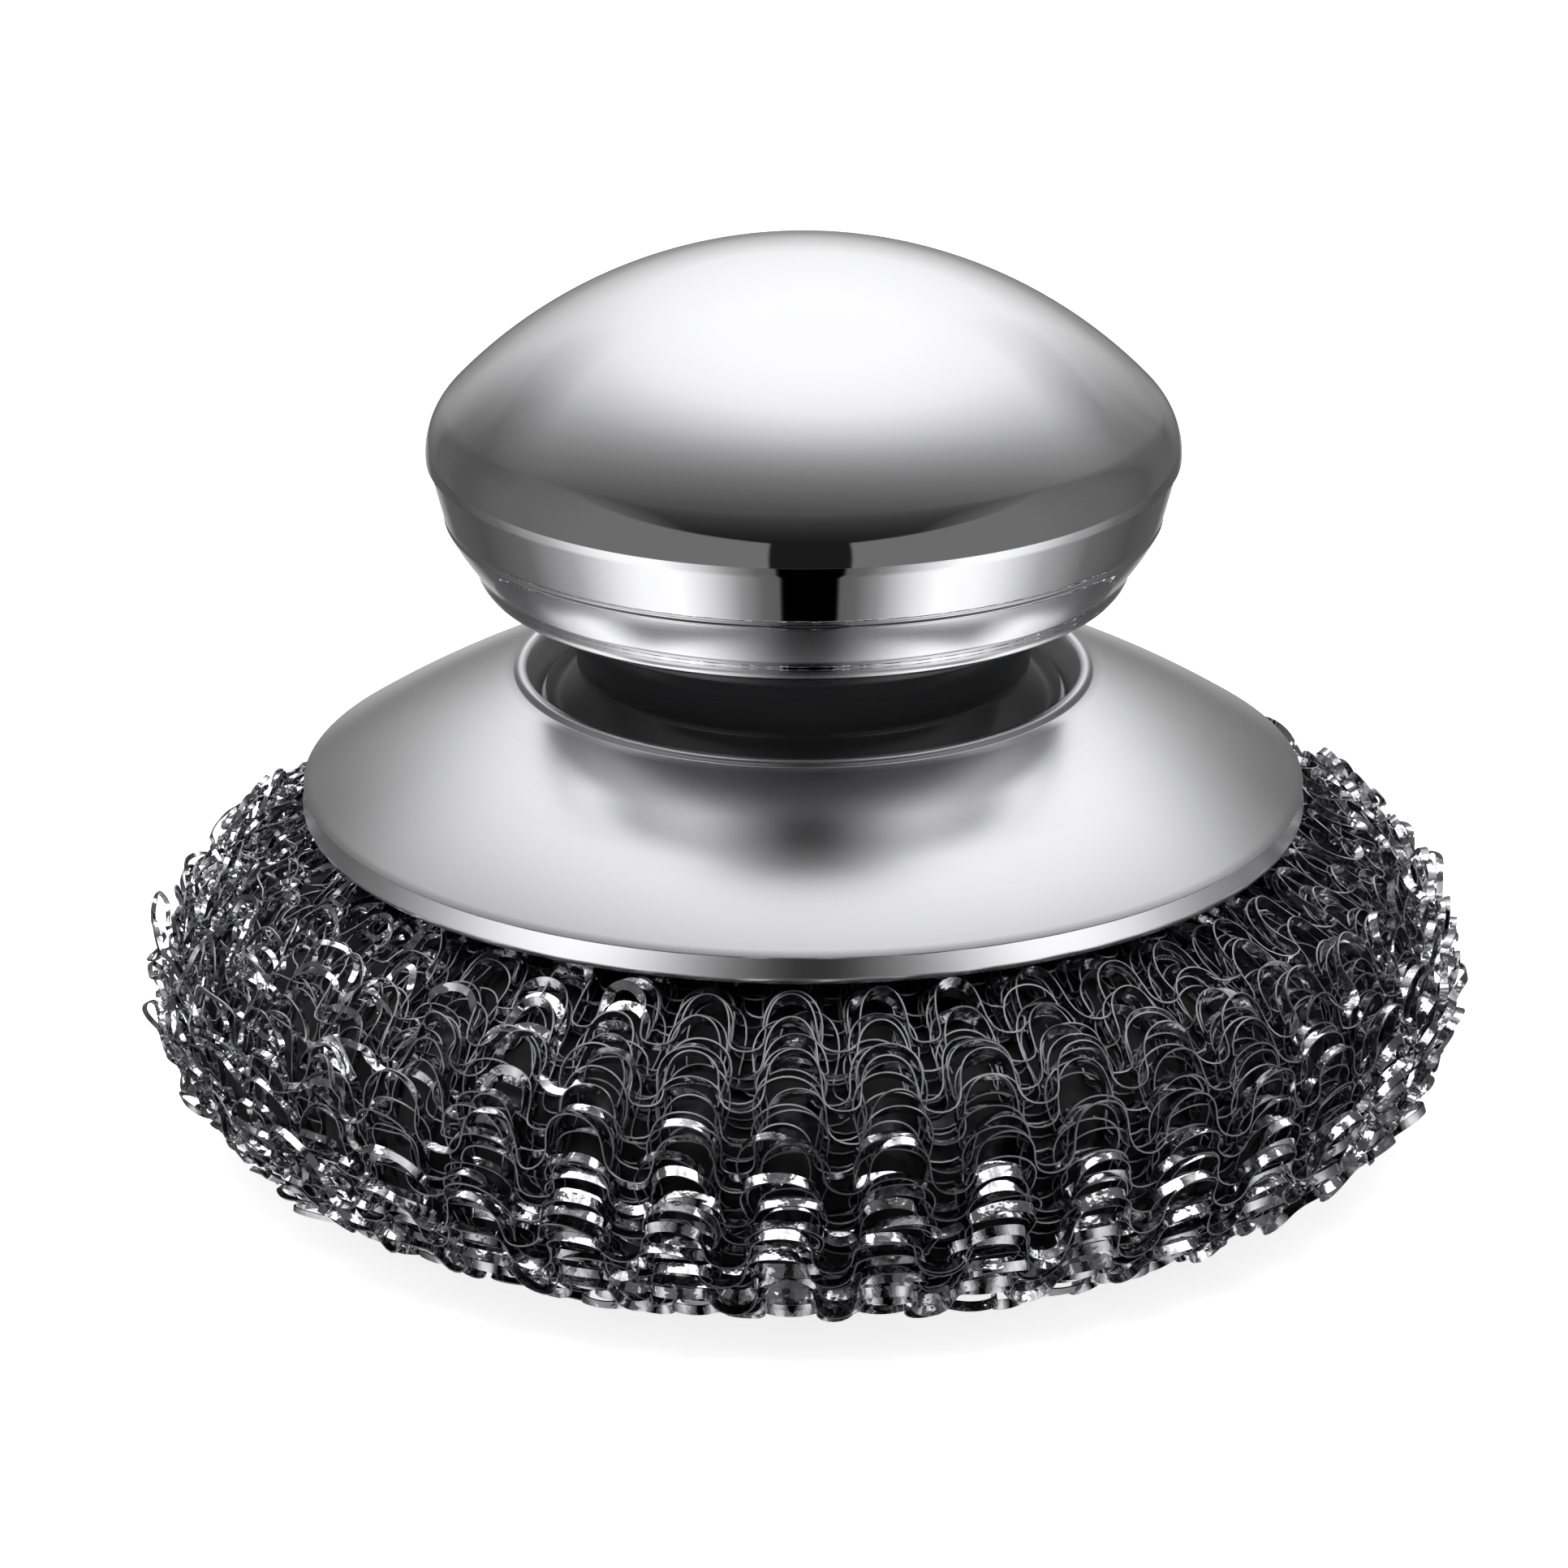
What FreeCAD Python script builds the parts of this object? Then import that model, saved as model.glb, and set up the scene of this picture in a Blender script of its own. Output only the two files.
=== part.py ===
import FreeCAD, Part
import math
import os
from types import SimpleNamespace

import Sketcher

# A hand pot scrubber: a polished knob on a dark neck and a flared skirt, screwed down on a knitted
# steel-wire pad. The origin is on the floor under the pad's centre, +Z is up along the stud.

# Driving dimensions in millimetres, and counts
SIZES = {
    # knitted pad
    "pad_radius": 50.0,
    "pad_bulge": 9.6,
    "pad_wall_height": 24.2,
    "pad_height": 25.5,
    "pad_crown_inset": 1.2,
    "pad_hole_clearance": 0.6,
    "well_clearance": 1.0,
    "well_mouth_radius": 3.0,
    "wale_count": 40,
    "flute_radius": 2.5,
    "flute_depth": 2.0,
    # stud and clamp disc under the pad
    "pad_travel": 7.0,
    "floor_gap": 1.4,
    "head_radius": 7.0,
    "head_height": 3.0,
    "head_edge": 0.8,
    "stud_radius": 3.0,
    "stud_chamfer": 0.6,
    "stud_tip": 0.5,
    "neck_square": 6.6,
    "clamp_radius": 13.0,
    "clamp_thickness": 1.2,
    "clamp_turn_down": 0.8,
    "clamp_turn_width": 1.6,
    # skirt shell
    "skirt_radius": 37.6,
    "skirt_rise": 9.0,
    "skirt_bow_radius": 84.0,
    "rim_height": 2.1,
    "rim_inset": 0.25,
    "rim_bend": 0.6,
    "curl_width": 1.6,
    "lip_radius": 21.6,
    "lip_roll": 0.5,
    "dish_depth": 2.5,
    "dish_radius": 19.6,
    # plate inside the skirt
    "plate_thickness": 1.4,
    "plate_hole_clearance": 2.0,
    "plate_hub_wall": 2.0,
    "plate_rib_reach": 15.0,
    "plate_rib_height": 3.2,
    # neck collar
    "neck_height": 9.0,
    "collar_radius": 16.8,
    "collar_foot_height": 0.8,
    "collar_foot_rise": 1.8,
    "collar_hollow_radius": 7.0,
    "collar_spigot_wall": 3.05,
    "flange_radius": 19.4,
    "flange_height": 1.6,
    # knob shells
    "knob_radius": 28.0,
    "dome_height": 15.2,
    "shoulder_radius": 5.4,
    "dome_edge": 0.4,
    "upper_band_inset": 0.4,
    "upper_band_height": 4.2,
    "lower_band_height": 5.5,
    "lower_band_bow": 20.0,
    "crease_inset": 1.25,
    "crease_depth": 0.25,
    "bowl_foot_inset": 3.6,
    "bowl_corner": 1.8,
    "shelf_width": 0.9,
    "spigot_height": 2.0,
    # knob core, nut and screws
    "spindle_radius": 6.5,
    "spindle_tail": 1.6,
    "core_hub_radius": 9.0,
    "core_flange_radius": 17.0,
    "core_flange_height": 4.0,
    "core_rib_inset": 3.6,
    "nut_flats": 10.0,
    "nut_lift": 2.0,
    "thread_pitch": 1.0,
    "thread_turns": 7,
    "screw_count": 3,
    "screw_circle_radius": 13.0,
    "screw_radius": 1.25,
    "screw_length": 4.2,
    "screw_head_radius": 2.4,
    "screw_head_height": 1.5,
    # washer and snap ring
    "washer_radius": 11.0,
    "washer_thickness": 0.7,
    "ring_width": 2.2,
    "ring_thickness": 0.8,
    "ring_opening": 4.0,
    "groove_depth": 0.9,
    # walls, ribs and clearances shared by several pieces
    "shell_wall": 0.6,
    "rib_count": 6,
    "rib_thickness": 1.6,
    "rib_root": 0.6,
    "seat_gap": 0.3,
    "face_gap": 0.1,
    "running_clearance": 0.05,
    "slip_clearance": 0.4,
}

doc = FreeCAD.newDocument("pot_scrubber")
sheet = doc.addObject("Spreadsheet::Sheet", "Sizes")
for row, (alias, number) in enumerate(SIZES.items(), start=1):
    sheet.set(f"A{row}", alias)
    sheet.set(f"B{row}", str(number))
    sheet.setAlias(f"B{row}", alias)
doc.recompute()


class Size:
    """A dimension: its value now, and the formula on the sheet's cells that gives it."""

    def __init__(self, value, formula):
        self.value = value
        self.formula = formula

    def __add__(self, other):
        other = as_size(other)
        return Size(self.value + other.value, f"({self.formula} + {other.formula})")

    def __sub__(self, other):
        other = as_size(other)
        return Size(self.value - other.value, f"({self.formula} - {other.formula})")

    def __mul__(self, other):
        other = as_size(other)
        return Size(self.value * other.value, f"({self.formula} * {other.formula})")

    def __truediv__(self, other):
        other = as_size(other)
        return Size(self.value / other.value, f"({self.formula} / {other.formula})")

    def root(self):
        return Size(math.sqrt(self.value), f"sqrt({self.formula})")


def as_size(number):
    return number if isinstance(number, Size) else Size(number, str(number))


size = SimpleNamespace(**{alias: Size(sheet.get(alias), f"Sizes.{alias}") for alias in SIZES})
ZERO = as_size(0)


def bind(target, path, dimension):
    target.setExpression(path, dimension.formula)


def constrain(sketch, kind, *places, to):
    index = sketch.addConstraint(Sketcher.Constraint(kind, *places, to.value))
    bind(sketch, f"Constraints[{index}]", to)


def pin(sketch, edge, end, across, up):
    """Hold one end of an edge at its distances from the sketch's two axes."""
    for kind, axis, distance in (("DistanceX", -2, across), ("DistanceY", -1, up)):
        if distance is ZERO:
            sketch.addConstraint(Sketcher.Constraint("PointOnObject", edge, end, axis))
        else:
            constrain(sketch, kind, -1, 1, edge, end, to=distance)


def left(radius):
    """An arc to the next corner that turns left on its way."""
    return radius, 1


def right(radius):
    """An arc to the next corner that turns right on its way."""
    return radius, -1


def draw_edge(sketch, start, stop, arc):
    """A line or arc from start to stop: its number, and which of its ends lie there."""
    if arc is None:
        return sketch.addGeometry(Part.LineSegment(start, stop)), 1, 2
    radius, turn = arc
    half = (stop - start) / 2
    away = math.sqrt(max(radius.value**2 - half.Length**2, 0))
    normal = FreeCAD.Vector(-half.y, half.x, 0).normalize()
    centre = start + half + normal * away * turn
    angles = [math.atan2(p.y - centre.y, p.x - centre.x) for p in (start, stop)]
    circle = Part.Circle(centre, FreeCAD.Vector(0, 0, 1), radius.value)
    edge = sketch.addGeometry(Part.ArcOfCircle(circle, *angles[::turn]))
    constrain(sketch, "Radius", edge, to=radius)
    return (edge, 1, 2) if turn > 0 else (edge, 2, 1)


def outline(sketch, corners):
    """A closed loop of corners (across, up), each with left() or right() where an arc follows it."""
    points = [FreeCAD.Vector(corner[0].value, corner[1].value, 0) for corner in corners]
    edges = []
    for index, corner in enumerate(corners):
        stop = points[(index + 1) % len(points)]
        arc = corner[2] if len(corner) > 2 else None
        edges.append(draw_edge(sketch, points[index], stop, arc))
    for index, (edge, start, stop) in enumerate(edges):
        follower, its_start, _ = edges[(index + 1) % len(edges)]
        sketch.addConstraint(Sketcher.Constraint("Coincident", edge, stop, follower, its_start))
        pin(sketch, edge, start, *corners[index][:2])


def circle(sketch, across, up, radius):
    centre = FreeCAD.Vector(across.value, up.value, 0)
    edge = sketch.addGeometry(Part.Circle(centre, FreeCAD.Vector(0, 0, 1), radius.value))
    pin(sketch, edge, 3, across, up)
    constrain(sketch, "Radius", edge, to=radius)


def polygon(sketch, sides, flats):
    """A regular polygon about the origin, measured across its flats, standing on a flat."""
    reach = flats.value / 2 / math.cos(math.pi / sides)
    turns = [(2 * side + 1) * math.pi / sides - math.pi / 2 for side in range(sides)]
    corners = [FreeCAD.Vector(reach * math.cos(turn), reach * math.sin(turn), 0) for turn in turns]
    rim = sketch.addGeometry(
        Part.Circle(FreeCAD.Vector(), FreeCAD.Vector(0, 0, 1), flats.value / 2), True
    )
    pin(sketch, rim, 3, ZERO, ZERO)
    constrain(sketch, "Radius", rim, to=flats / 2)
    edges = [
        sketch.addGeometry(Part.LineSegment(corners[side - 1], corners[side])) for side in range(sides)
    ]
    for side, edge in enumerate(edges):
        sketch.addConstraint(Sketcher.Constraint("Coincident", edge, 2, edges[(side + 1) % sides], 1))
        sketch.addConstraint(Sketcher.Constraint("Tangent", edge, rim))
        if side > 1:
            sketch.addConstraint(Sketcher.Constraint("Equal", edge, edges[1]))
    sketch.addConstraint(Sketcher.Constraint("Horizontal", edges[0]))


def origin_feature(body, role):
    return next(feature for feature in body.Origin.OriginFeatures if feature.Role == role)


def new_body(name):
    body = doc.addObject("PartDesign::Body", name)
    body.Label = name
    return body


def new_sketch(body, name, plane, lift=ZERO):
    """A sketch on one of the body's own planes, lifted along that plane's normal."""
    sketch = body.newObject("Sketcher::SketchObject", f"{body.Label}_{name}")
    sketch.AttachmentSupport = [(origin_feature(body, plane), "")]
    sketch.MapMode = "FlatFace"
    bind(sketch, "AttachmentOffset.Base.z", lift)
    return sketch


def new_feature(body, kind, name, sketch):
    feature = body.newObject(f"PartDesign::{kind}", f"{body.Label}_{name}")
    feature.Profile = sketch
    return feature


def turned(body, corners):
    """Turn an outline, drawn in the half plane beside the axis, once round Z."""
    sketch = new_sketch(body, "outline", "XZ_Plane")
    outline(sketch, corners)
    revolution = new_feature(body, "Revolution", "turn", sketch)
    revolution.ReferenceAxis = (sketch, ["V_Axis"])
    revolution.Angle = 360
    doc.recompute()
    return body


def raised(body, name, sketch, height):
    """Material added upwards from a sketch, or to both sides of an upright one."""
    pad = new_feature(body, "Pad", name, sketch)
    bind(pad, "Length", height)
    doc.recompute()
    return pad


def cut_up(body, name, sketch, depth):
    """Material taken away upwards from a sketch."""
    pocket = new_feature(body, "Pocket", name, sketch)
    pocket.Reversed = True
    bind(pocket, "Length", depth)
    doc.recompute()
    return pocket


def ring_of(body, feature, count):
    """Repeat a feature evenly round Z."""
    pattern = body.newObject("PartDesign::PolarPattern", f"{feature.Name}_ring")
    pattern.Originals = [feature]
    pattern.Axis = (origin_feature(body, "Z_Axis"), [""])
    pattern.Angle = 360
    bind(pattern, "Occurrences", count)
    body.Tip = pattern
    doc.recompute()


def ribs(body, reach, low, high):
    """Upright ribs, spread evenly round Z, from a root inside the hub's wall."""
    start, stop = reach
    sketch = new_sketch(body, "rib_outline", "XZ_Plane")
    outline(sketch, [(start, low), (stop, low), (stop, high), (start, high)])
    rib = raised(body, "rib", sketch, size.rib_thickness)
    rib.Midplane = True
    ring_of(body, rib, size.rib_count)


# Levels up the stud, from the floor to the top of the knob
head_bottom = size.pad_travel + size.floor_gap
head_top = head_bottom + size.head_height
clamp_top = head_top + size.clamp_thickness
well_top = clamp_top + size.seat_gap
rim_bottom = size.pad_height + size.seat_gap
crease_level = rim_bottom + size.rim_height
lip_level = crease_level + size.skirt_rise
dish_floor = lip_level - size.dish_depth
dish_underside = dish_floor - size.shell_wall
collar_top = dish_floor + size.neck_height
bowl_bottom = collar_top + size.face_gap
core_bottom = bowl_bottom + size.shell_wall
core_flange_top = core_bottom + size.core_flange_height
band_crease = bowl_bottom + size.lower_band_height
shelf_level = band_crease + size.upper_band_height
widest_level = shelf_level + size.dome_edge
dome_top = widest_level + size.dome_height
nut_bottom = core_flange_top + size.nut_lift
nut_height = size.thread_pitch * size.thread_turns
stud_top = nut_bottom + nut_height + size.stud_tip
washer_top = dish_underside - size.face_gap
washer_bottom = washer_top - size.washer_thickness
ring_top = washer_bottom - size.face_gap
ring_bottom = ring_top - size.ring_thickness
spindle_bottom = ring_bottom - size.spindle_tail

# Radii that two pieces share
rim_radius = size.skirt_radius - size.rim_inset
spindle_hole = size.spindle_radius + size.running_clearance
collar_spigot = spindle_hole + size.collar_spigot_wall
stud_bore = size.stud_radius + size.slip_clearance
upper_band = size.knob_radius - size.upper_band_inset
spigot_radius = upper_band - size.shelf_width
groove_radius = size.spindle_radius - size.groove_depth

# The dome is a wide crown arc that runs smoothly into a tight shoulder arc at the knob's edge
shoulder_centre = size.knob_radius - size.shoulder_radius
crown_radius = (
    size.knob_radius * size.knob_radius
    + size.dome_height * size.dome_height
    - size.knob_radius * size.shoulder_radius * 2
) / ((size.dome_height - size.shoulder_radius) * 2)
crown_centre = dome_top - crown_radius


def dome_joint(radius):
    """Where crown and shoulder meet, on the skin that has this crown radius."""
    share = radius / (crown_radius - size.shoulder_radius)
    return shoulder_centre * share, crown_centre + (widest_level - crown_centre) * share


def make_pad():
    """The knitted pad: a bulging ring, fluted between its columns of loops, with a well below."""
    body = new_body("pad")
    hole = size.stud_radius + size.pad_hole_clearance
    well = size.clamp_radius + size.well_clearance
    foot = size.pad_radius - size.pad_bulge
    half_wall = size.pad_wall_height / 2
    wall_radius = (half_wall * half_wall + size.pad_bulge * size.pad_bulge) / (size.pad_bulge * 2)
    turned(
        body,
        [
            (hole, size.pad_height),
            (hole, well_top),
            (well, well_top),
            (well, size.well_mouth_radius, left(size.well_mouth_radius)),
            (well + size.well_mouth_radius, ZERO),
            (foot, ZERO, left(wall_radius)),
            (foot, size.pad_wall_height),
            (size.skirt_radius - size.pad_crown_inset, size.pad_height),
        ],
    )
    sketch = new_sketch(body, "flute_outline", "XY_Plane", half_wall)
    bind(sketch, "AttachmentOffset.Rotation.Angle", as_size(180) / size.wale_count)
    centre = size.pad_radius - wall_radius
    circle(sketch, size.pad_radius + size.flute_radius - size.flute_depth, ZERO, size.flute_radius)
    pivot = sketch.addGeometry(
        Part.LineSegment(
            FreeCAD.Vector(centre.value, 0, 0),
            FreeCAD.Vector(centre.value, size.flute_radius.value, 0),
        ),
        True,
    )
    pin(sketch, pivot, 1, centre, ZERO)
    pin(sketch, pivot, 2, centre, size.flute_radius)
    flute = new_feature(body, "Groove", "flute", sketch)
    flute.ReferenceAxis = (sketch, ["Axis0"])
    flute.Midplane = True
    flute.Angle = 180
    doc.recompute()
    ring_of(body, flute, size.wale_count)
    return body


def make_stud():
    """A coach-bolt stud: domed head below the pad, square neck in the clamp disc, threaded shank."""
    body = new_body("stud")
    edge_level = head_top - size.head_edge
    sink = edge_level - head_bottom
    dome = (size.head_radius * size.head_radius + sink * sink) / (sink * 2)
    turned(
        body,
        [
            (ZERO, head_bottom, left(dome)),
            (size.head_radius, edge_level),
            (size.head_radius, head_top),
            (size.stud_radius, head_top),
            (size.stud_radius, stud_top - size.stud_chamfer),
            (size.stud_radius - size.stud_chamfer, stud_top),
            (ZERO, stud_top),
        ],
    )
    sketch = new_sketch(body, "neck_outline", "XY_Plane", head_top)
    polygon(sketch, 4, size.neck_square)
    raised(body, "square_neck", sketch, size.clamp_thickness)
    return body


def make_clamp_disc():
    """The disc that holds the pad up: its edge is turned down, its hole fits the square neck."""
    body = new_body("clamp_disc")
    flat = size.clamp_radius - size.clamp_turn_width
    turned(
        body,
        [
            (ZERO, head_top),
            (flat, head_top),
            (size.clamp_radius, head_top - size.clamp_turn_down),
            (size.clamp_radius, clamp_top - size.clamp_turn_down),
            (flat, clamp_top),
            (ZERO, clamp_top),
        ],
    )
    sketch = new_sketch(body, "hole_outline", "XY_Plane", head_top)
    polygon(sketch, 4, size.neck_square + size.running_clearance * 2)
    cut_up(body, "square_hole", sketch, size.clamp_thickness)
    return body


def make_skirt():
    """The flared shell: rim curled under the plate, bowed cone, rolled lip and dished centre."""
    wall = size.shell_wall
    curl = rim_radius - size.curl_width
    lip_side = lip_level - size.lip_roll
    hole = collar_spigot + size.running_clearance
    return turned(
        new_body("skirt"),
        [
            (curl, rim_bottom),
            (rim_radius - size.rim_bend, rim_bottom, left(size.rim_bend)),
            (rim_radius, rim_bottom + size.rim_bend),
            (rim_radius, crease_level),
            (size.skirt_radius, crease_level, left(size.skirt_bow_radius)),
            (size.lip_radius, lip_side, left(size.lip_roll)),
            (size.lip_radius - size.lip_roll, lip_level, left(size.lip_roll)),
            (size.lip_radius - size.lip_roll * 2, lip_side),
            (size.dish_radius, dish_floor),
            (hole, dish_floor),
            (hole, dish_underside),
            (size.dish_radius + wall, dish_underside),
            (size.lip_radius - size.lip_roll, lip_side - wall, right(size.skirt_bow_radius)),
            (rim_radius - wall, crease_level - size.rim_inset),
            (rim_radius - wall, rim_bottom + wall),
            (curl, rim_bottom + wall),
        ],
    )


def make_backing_plate():
    """The plate that presses on the pad: stepped edge over the skirt's curl, hub and ribs above."""
    body = new_body("backing_plate")
    plate_top = rim_bottom + size.plate_thickness
    hole = size.stud_radius + size.plate_hole_clearance
    step = rim_radius - size.curl_width - size.face_gap
    edge = rim_radius - size.shell_wall - size.face_gap
    hub_inside = size.washer_radius + size.well_clearance
    hub_outside = hub_inside + size.plate_hub_wall
    turned(
        body,
        [
            (hole, rim_bottom),
            (step, rim_bottom),
            (step, rim_bottom + size.shell_wall),
            (edge, rim_bottom + size.shell_wall),
            (edge, plate_top),
            (hub_outside, plate_top),
            (hub_outside, dish_underside),
            (hub_inside, dish_underside),
            (hub_inside, plate_top),
            (hole, plate_top),
        ],
    )
    reach = (hub_outside - size.rib_root, hub_outside + size.plate_rib_reach)
    ribs(body, reach, plate_top - size.rib_root, plate_top + size.plate_rib_height)
    return body


def make_neck_collar():
    """The dark neck: a sloping foot in the dish, a waist, and a groove on top for the screw heads."""
    groove_inside = size.screw_circle_radius - size.screw_head_radius - size.seat_gap
    groove_outside = size.screw_circle_radius + size.screw_head_radius + size.seat_gap
    groove_floor = collar_top - size.screw_head_height - size.slip_clearance
    foot = size.dish_radius - size.seat_gap
    foot_top = dish_floor + size.collar_foot_height
    waist_bottom = foot_top + size.collar_foot_rise
    return turned(
        new_body("neck_collar"),
        [
            (spindle_hole, dish_underside),
            (collar_spigot, dish_underside),
            (collar_spigot, dish_floor),
            (foot, dish_floor),
            (foot, foot_top),
            (size.collar_radius, waist_bottom, right(size.collar_hollow_radius)),
            (size.flange_radius, collar_top - size.flange_height),
            (size.flange_radius, collar_top),
            (groove_outside, collar_top),
            (groove_outside, groove_floor),
            (groove_inside, groove_floor),
            (groove_inside, collar_top),
            (spindle_hole, collar_top),
        ],
    )


def make_thrust_washer():
    """The plain washer between the skirt's dish and the snap ring."""
    body = new_body("thrust_washer")
    sketch = new_sketch(body, "outline", "XY_Plane", washer_bottom)
    circle(sketch, ZERO, ZERO, size.washer_radius)
    circle(sketch, ZERO, ZERO, spindle_hole)
    raised(body, "disc", sketch, size.washer_thickness)
    return body


def make_snap_ring():
    """The open ring in the spindle's groove, which carries neck and skirt on the knob."""
    body = new_body("snap_ring")
    inside = groove_radius + size.running_clearance
    outside = inside + size.ring_width
    sketch = new_sketch(body, "outline", "XY_Plane", ring_bottom)
    circle(sketch, ZERO, ZERO, outside)
    circle(sketch, ZERO, ZERO, inside)
    raised(body, "ring", sketch, size.ring_thickness)
    opening = new_sketch(body, "opening_outline", "YZ_Plane")
    corners = [(ZERO, ring_bottom), (outside, ring_bottom), (outside, ring_top), (ZERO, ring_top)]
    outline(opening, corners)
    slot = new_feature(body, "Pocket", "opening", opening)
    slot.Midplane = True
    bind(slot, "Length", size.ring_opening)
    doc.recompute()
    return body


def make_knob_core():
    """The moulded core: hollow spindle, screw flange, hub round the nut, ribs and a web."""
    body = new_body("knob_core")
    web_edge = spigot_radius - size.shell_wall - size.face_gap
    web_top = shelf_level + size.spigot_height
    inner_crown = crown_radius - size.shell_wall
    hub_reach = (inner_crown * inner_crown - size.core_hub_radius * size.core_hub_radius).root()
    hub_top = crown_centre + hub_reach - size.seat_gap
    turned(
        body,
        [
            (stud_bore, spindle_bottom),
            (size.spindle_radius, spindle_bottom),
            (size.spindle_radius, ring_bottom - size.running_clearance),
            (groove_radius, ring_bottom - size.running_clearance),
            (groove_radius, ring_top + size.running_clearance),
            (size.spindle_radius, ring_top + size.running_clearance),
            (size.spindle_radius, core_bottom),
            (size.core_flange_radius, core_bottom),
            (size.core_flange_radius, core_flange_top),
            (size.core_hub_radius, core_flange_top),
            (size.core_hub_radius, shelf_level),
            (web_edge, shelf_level),
            (web_edge, web_top),
            (size.core_hub_radius, web_top),
            (size.core_hub_radius, hub_top),
            (ZERO, hub_top),
            (ZERO, stud_top + size.stud_tip),
            (stud_bore, stud_top + size.stud_tip),
        ],
    )
    reach = (size.core_hub_radius - size.rib_root, web_edge - size.core_rib_inset)
    ribs(body, reach, core_flange_top - size.rib_root, shelf_level + size.rib_root)
    nut_sketch = new_sketch(body, "nut_outline", "XY_Plane", nut_bottom)
    polygon(nut_sketch, 6, size.nut_flats)
    cut_up(body, "nut_seat", nut_sketch, nut_height)
    screw_sketch = new_sketch(body, "screw_outline", "XY_Plane", core_bottom)
    circle(screw_sketch, ZERO, size.screw_circle_radius, size.screw_radius)
    hole = cut_up(body, "screw_hole", screw_sketch, size.core_flange_height)
    ring_of(body, hole, size.screw_count)
    return body


def make_insert_nut():
    """The hexagon nut moulded into the hub. Its bore is plain where the thread runs."""
    body = new_body("insert_nut")
    sketch = new_sketch(body, "outline", "XY_Plane", nut_bottom)
    polygon(sketch, 6, size.nut_flats)
    circle(sketch, ZERO, ZERO, size.stud_radius + size.running_clearance)
    raised(body, "hexagon", sketch, nut_height)
    return body


def make_bowl_screws():
    """Pan-head screws that come up through the bowl's floor into the core's flange."""
    body = new_body("bowl_screws")
    body.AllowCompound = True
    axis = size.screw_circle_radius
    head_bottom_level = bowl_bottom - size.screw_head_height
    tip = bowl_bottom + size.screw_length
    sketch = new_sketch(body, "outline", "YZ_Plane")
    outline(
        sketch,
        [
            (axis, head_bottom_level),
            (axis + size.screw_head_radius, head_bottom_level),
            (axis + size.screw_head_radius, bowl_bottom),
            (axis + size.screw_radius, bowl_bottom),
            (axis + size.screw_radius, tip),
            (axis, tip),
        ],
    )
    line = sketch.addGeometry(
        Part.LineSegment(
            FreeCAD.Vector(axis.value, head_bottom_level.value, 0),
            FreeCAD.Vector(axis.value, tip.value, 0),
        ),
        True,
    )
    pin(sketch, line, 1, axis, head_bottom_level)
    pin(sketch, line, 2, axis, tip)
    screw = new_feature(body, "Revolution", "turn", sketch)
    screw.ReferenceAxis = (sketch, ["Axis0"])
    screw.Angle = 360
    doc.recompute()
    ring_of(body, screw, size.screw_count)
    return body


def make_knob_bowl():
    """The lower shell: flat floor, rounded foot, bowed band, crease, steep band, shelf and spigot."""
    body = new_body("knob_bowl")
    wall = size.shell_wall
    foot = size.knob_radius - size.bowl_foot_inset
    floor_edge = foot - size.bowl_corner
    foot_top = bowl_bottom + size.bowl_corner
    crease = size.knob_radius - size.crease_inset
    crease_floor = crease - size.crease_depth
    turned(
        body,
        [
            (spindle_hole, bowl_bottom),
            (floor_edge, bowl_bottom, left(size.bowl_corner)),
            (foot, foot_top, left(size.lower_band_bow)),
            (crease, band_crease - size.crease_depth),
            (crease_floor, band_crease),
            (crease, band_crease + size.crease_depth),
            (upper_band, shelf_level),
            (spigot_radius, shelf_level),
            (spigot_radius, shelf_level + size.spigot_height),
            (spigot_radius - wall, shelf_level + size.spigot_height),
            (spigot_radius - wall, shelf_level - wall),
            (crease_floor - wall, band_crease, right(size.lower_band_bow)),
            (foot - wall, foot_top, right(size.bowl_corner - wall)),
            (floor_edge, core_bottom),
            (spindle_hole, core_bottom),
        ],
    )
    sketch = new_sketch(body, "screw_outline", "XY_Plane", bowl_bottom)
    circle(sketch, ZERO, size.screw_circle_radius, size.screw_radius + size.running_clearance)
    hole = cut_up(body, "screw_hole", sketch, wall)
    ring_of(body, hole, size.screw_count)
    return body


def make_knob_dome():
    """The upper shell: crown and shoulder arcs, and a hem that sits on the bowl's shelf."""
    wall = size.shell_wall
    hem = spigot_radius + size.face_gap
    edge_foot = size.knob_radius - size.dome_edge
    return turned(
        new_body("knob_dome"),
        [
            (hem, shelf_level),
            (edge_foot, shelf_level, left(size.dome_edge)),
            (size.knob_radius, widest_level, left(size.shoulder_radius)),
            (*dome_joint(crown_radius), left(crown_radius)),
            (ZERO, dome_top),
            (ZERO, dome_top - wall, right(crown_radius - wall)),
            (*dome_joint(crown_radius - wall), right(size.shoulder_radius - wall)),
            (size.knob_radius - wall, widest_level),
            (hem, widest_level),
        ],
    )


pieces = [
    make_pad(),
    make_stud(),
    make_clamp_disc(),
    make_skirt(),
    make_backing_plate(),
    make_neck_collar(),
    make_thrust_washer(),
    make_snap_ring(),
    make_knob_core(),
    make_insert_nut(),
    make_bowl_screws(),
    make_knob_bowl(),
    make_knob_dome(),
]

# Every object has to be sound, and every cut has to have taken material away, before anything is written
doc.recompute()
for thing in doc.Objects:
    if {"Invalid", "Error"} & set(thing.State):
        raise RuntimeError(f"{thing.Label} did not recompute: {thing.State}")
    if thing.TypeId in ("PartDesign::Pocket", "PartDesign::Groove"):
        if thing.Shape.Volume >= thing.BaseFeature.Shape.Volume:
            raise RuntimeError(f"{thing.Label} cut nothing")
for piece in pieces:
    if piece.Shape.isNull() or not piece.Shape.isValid():
        raise RuntimeError(f"{piece.Label} has no valid shape")

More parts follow.
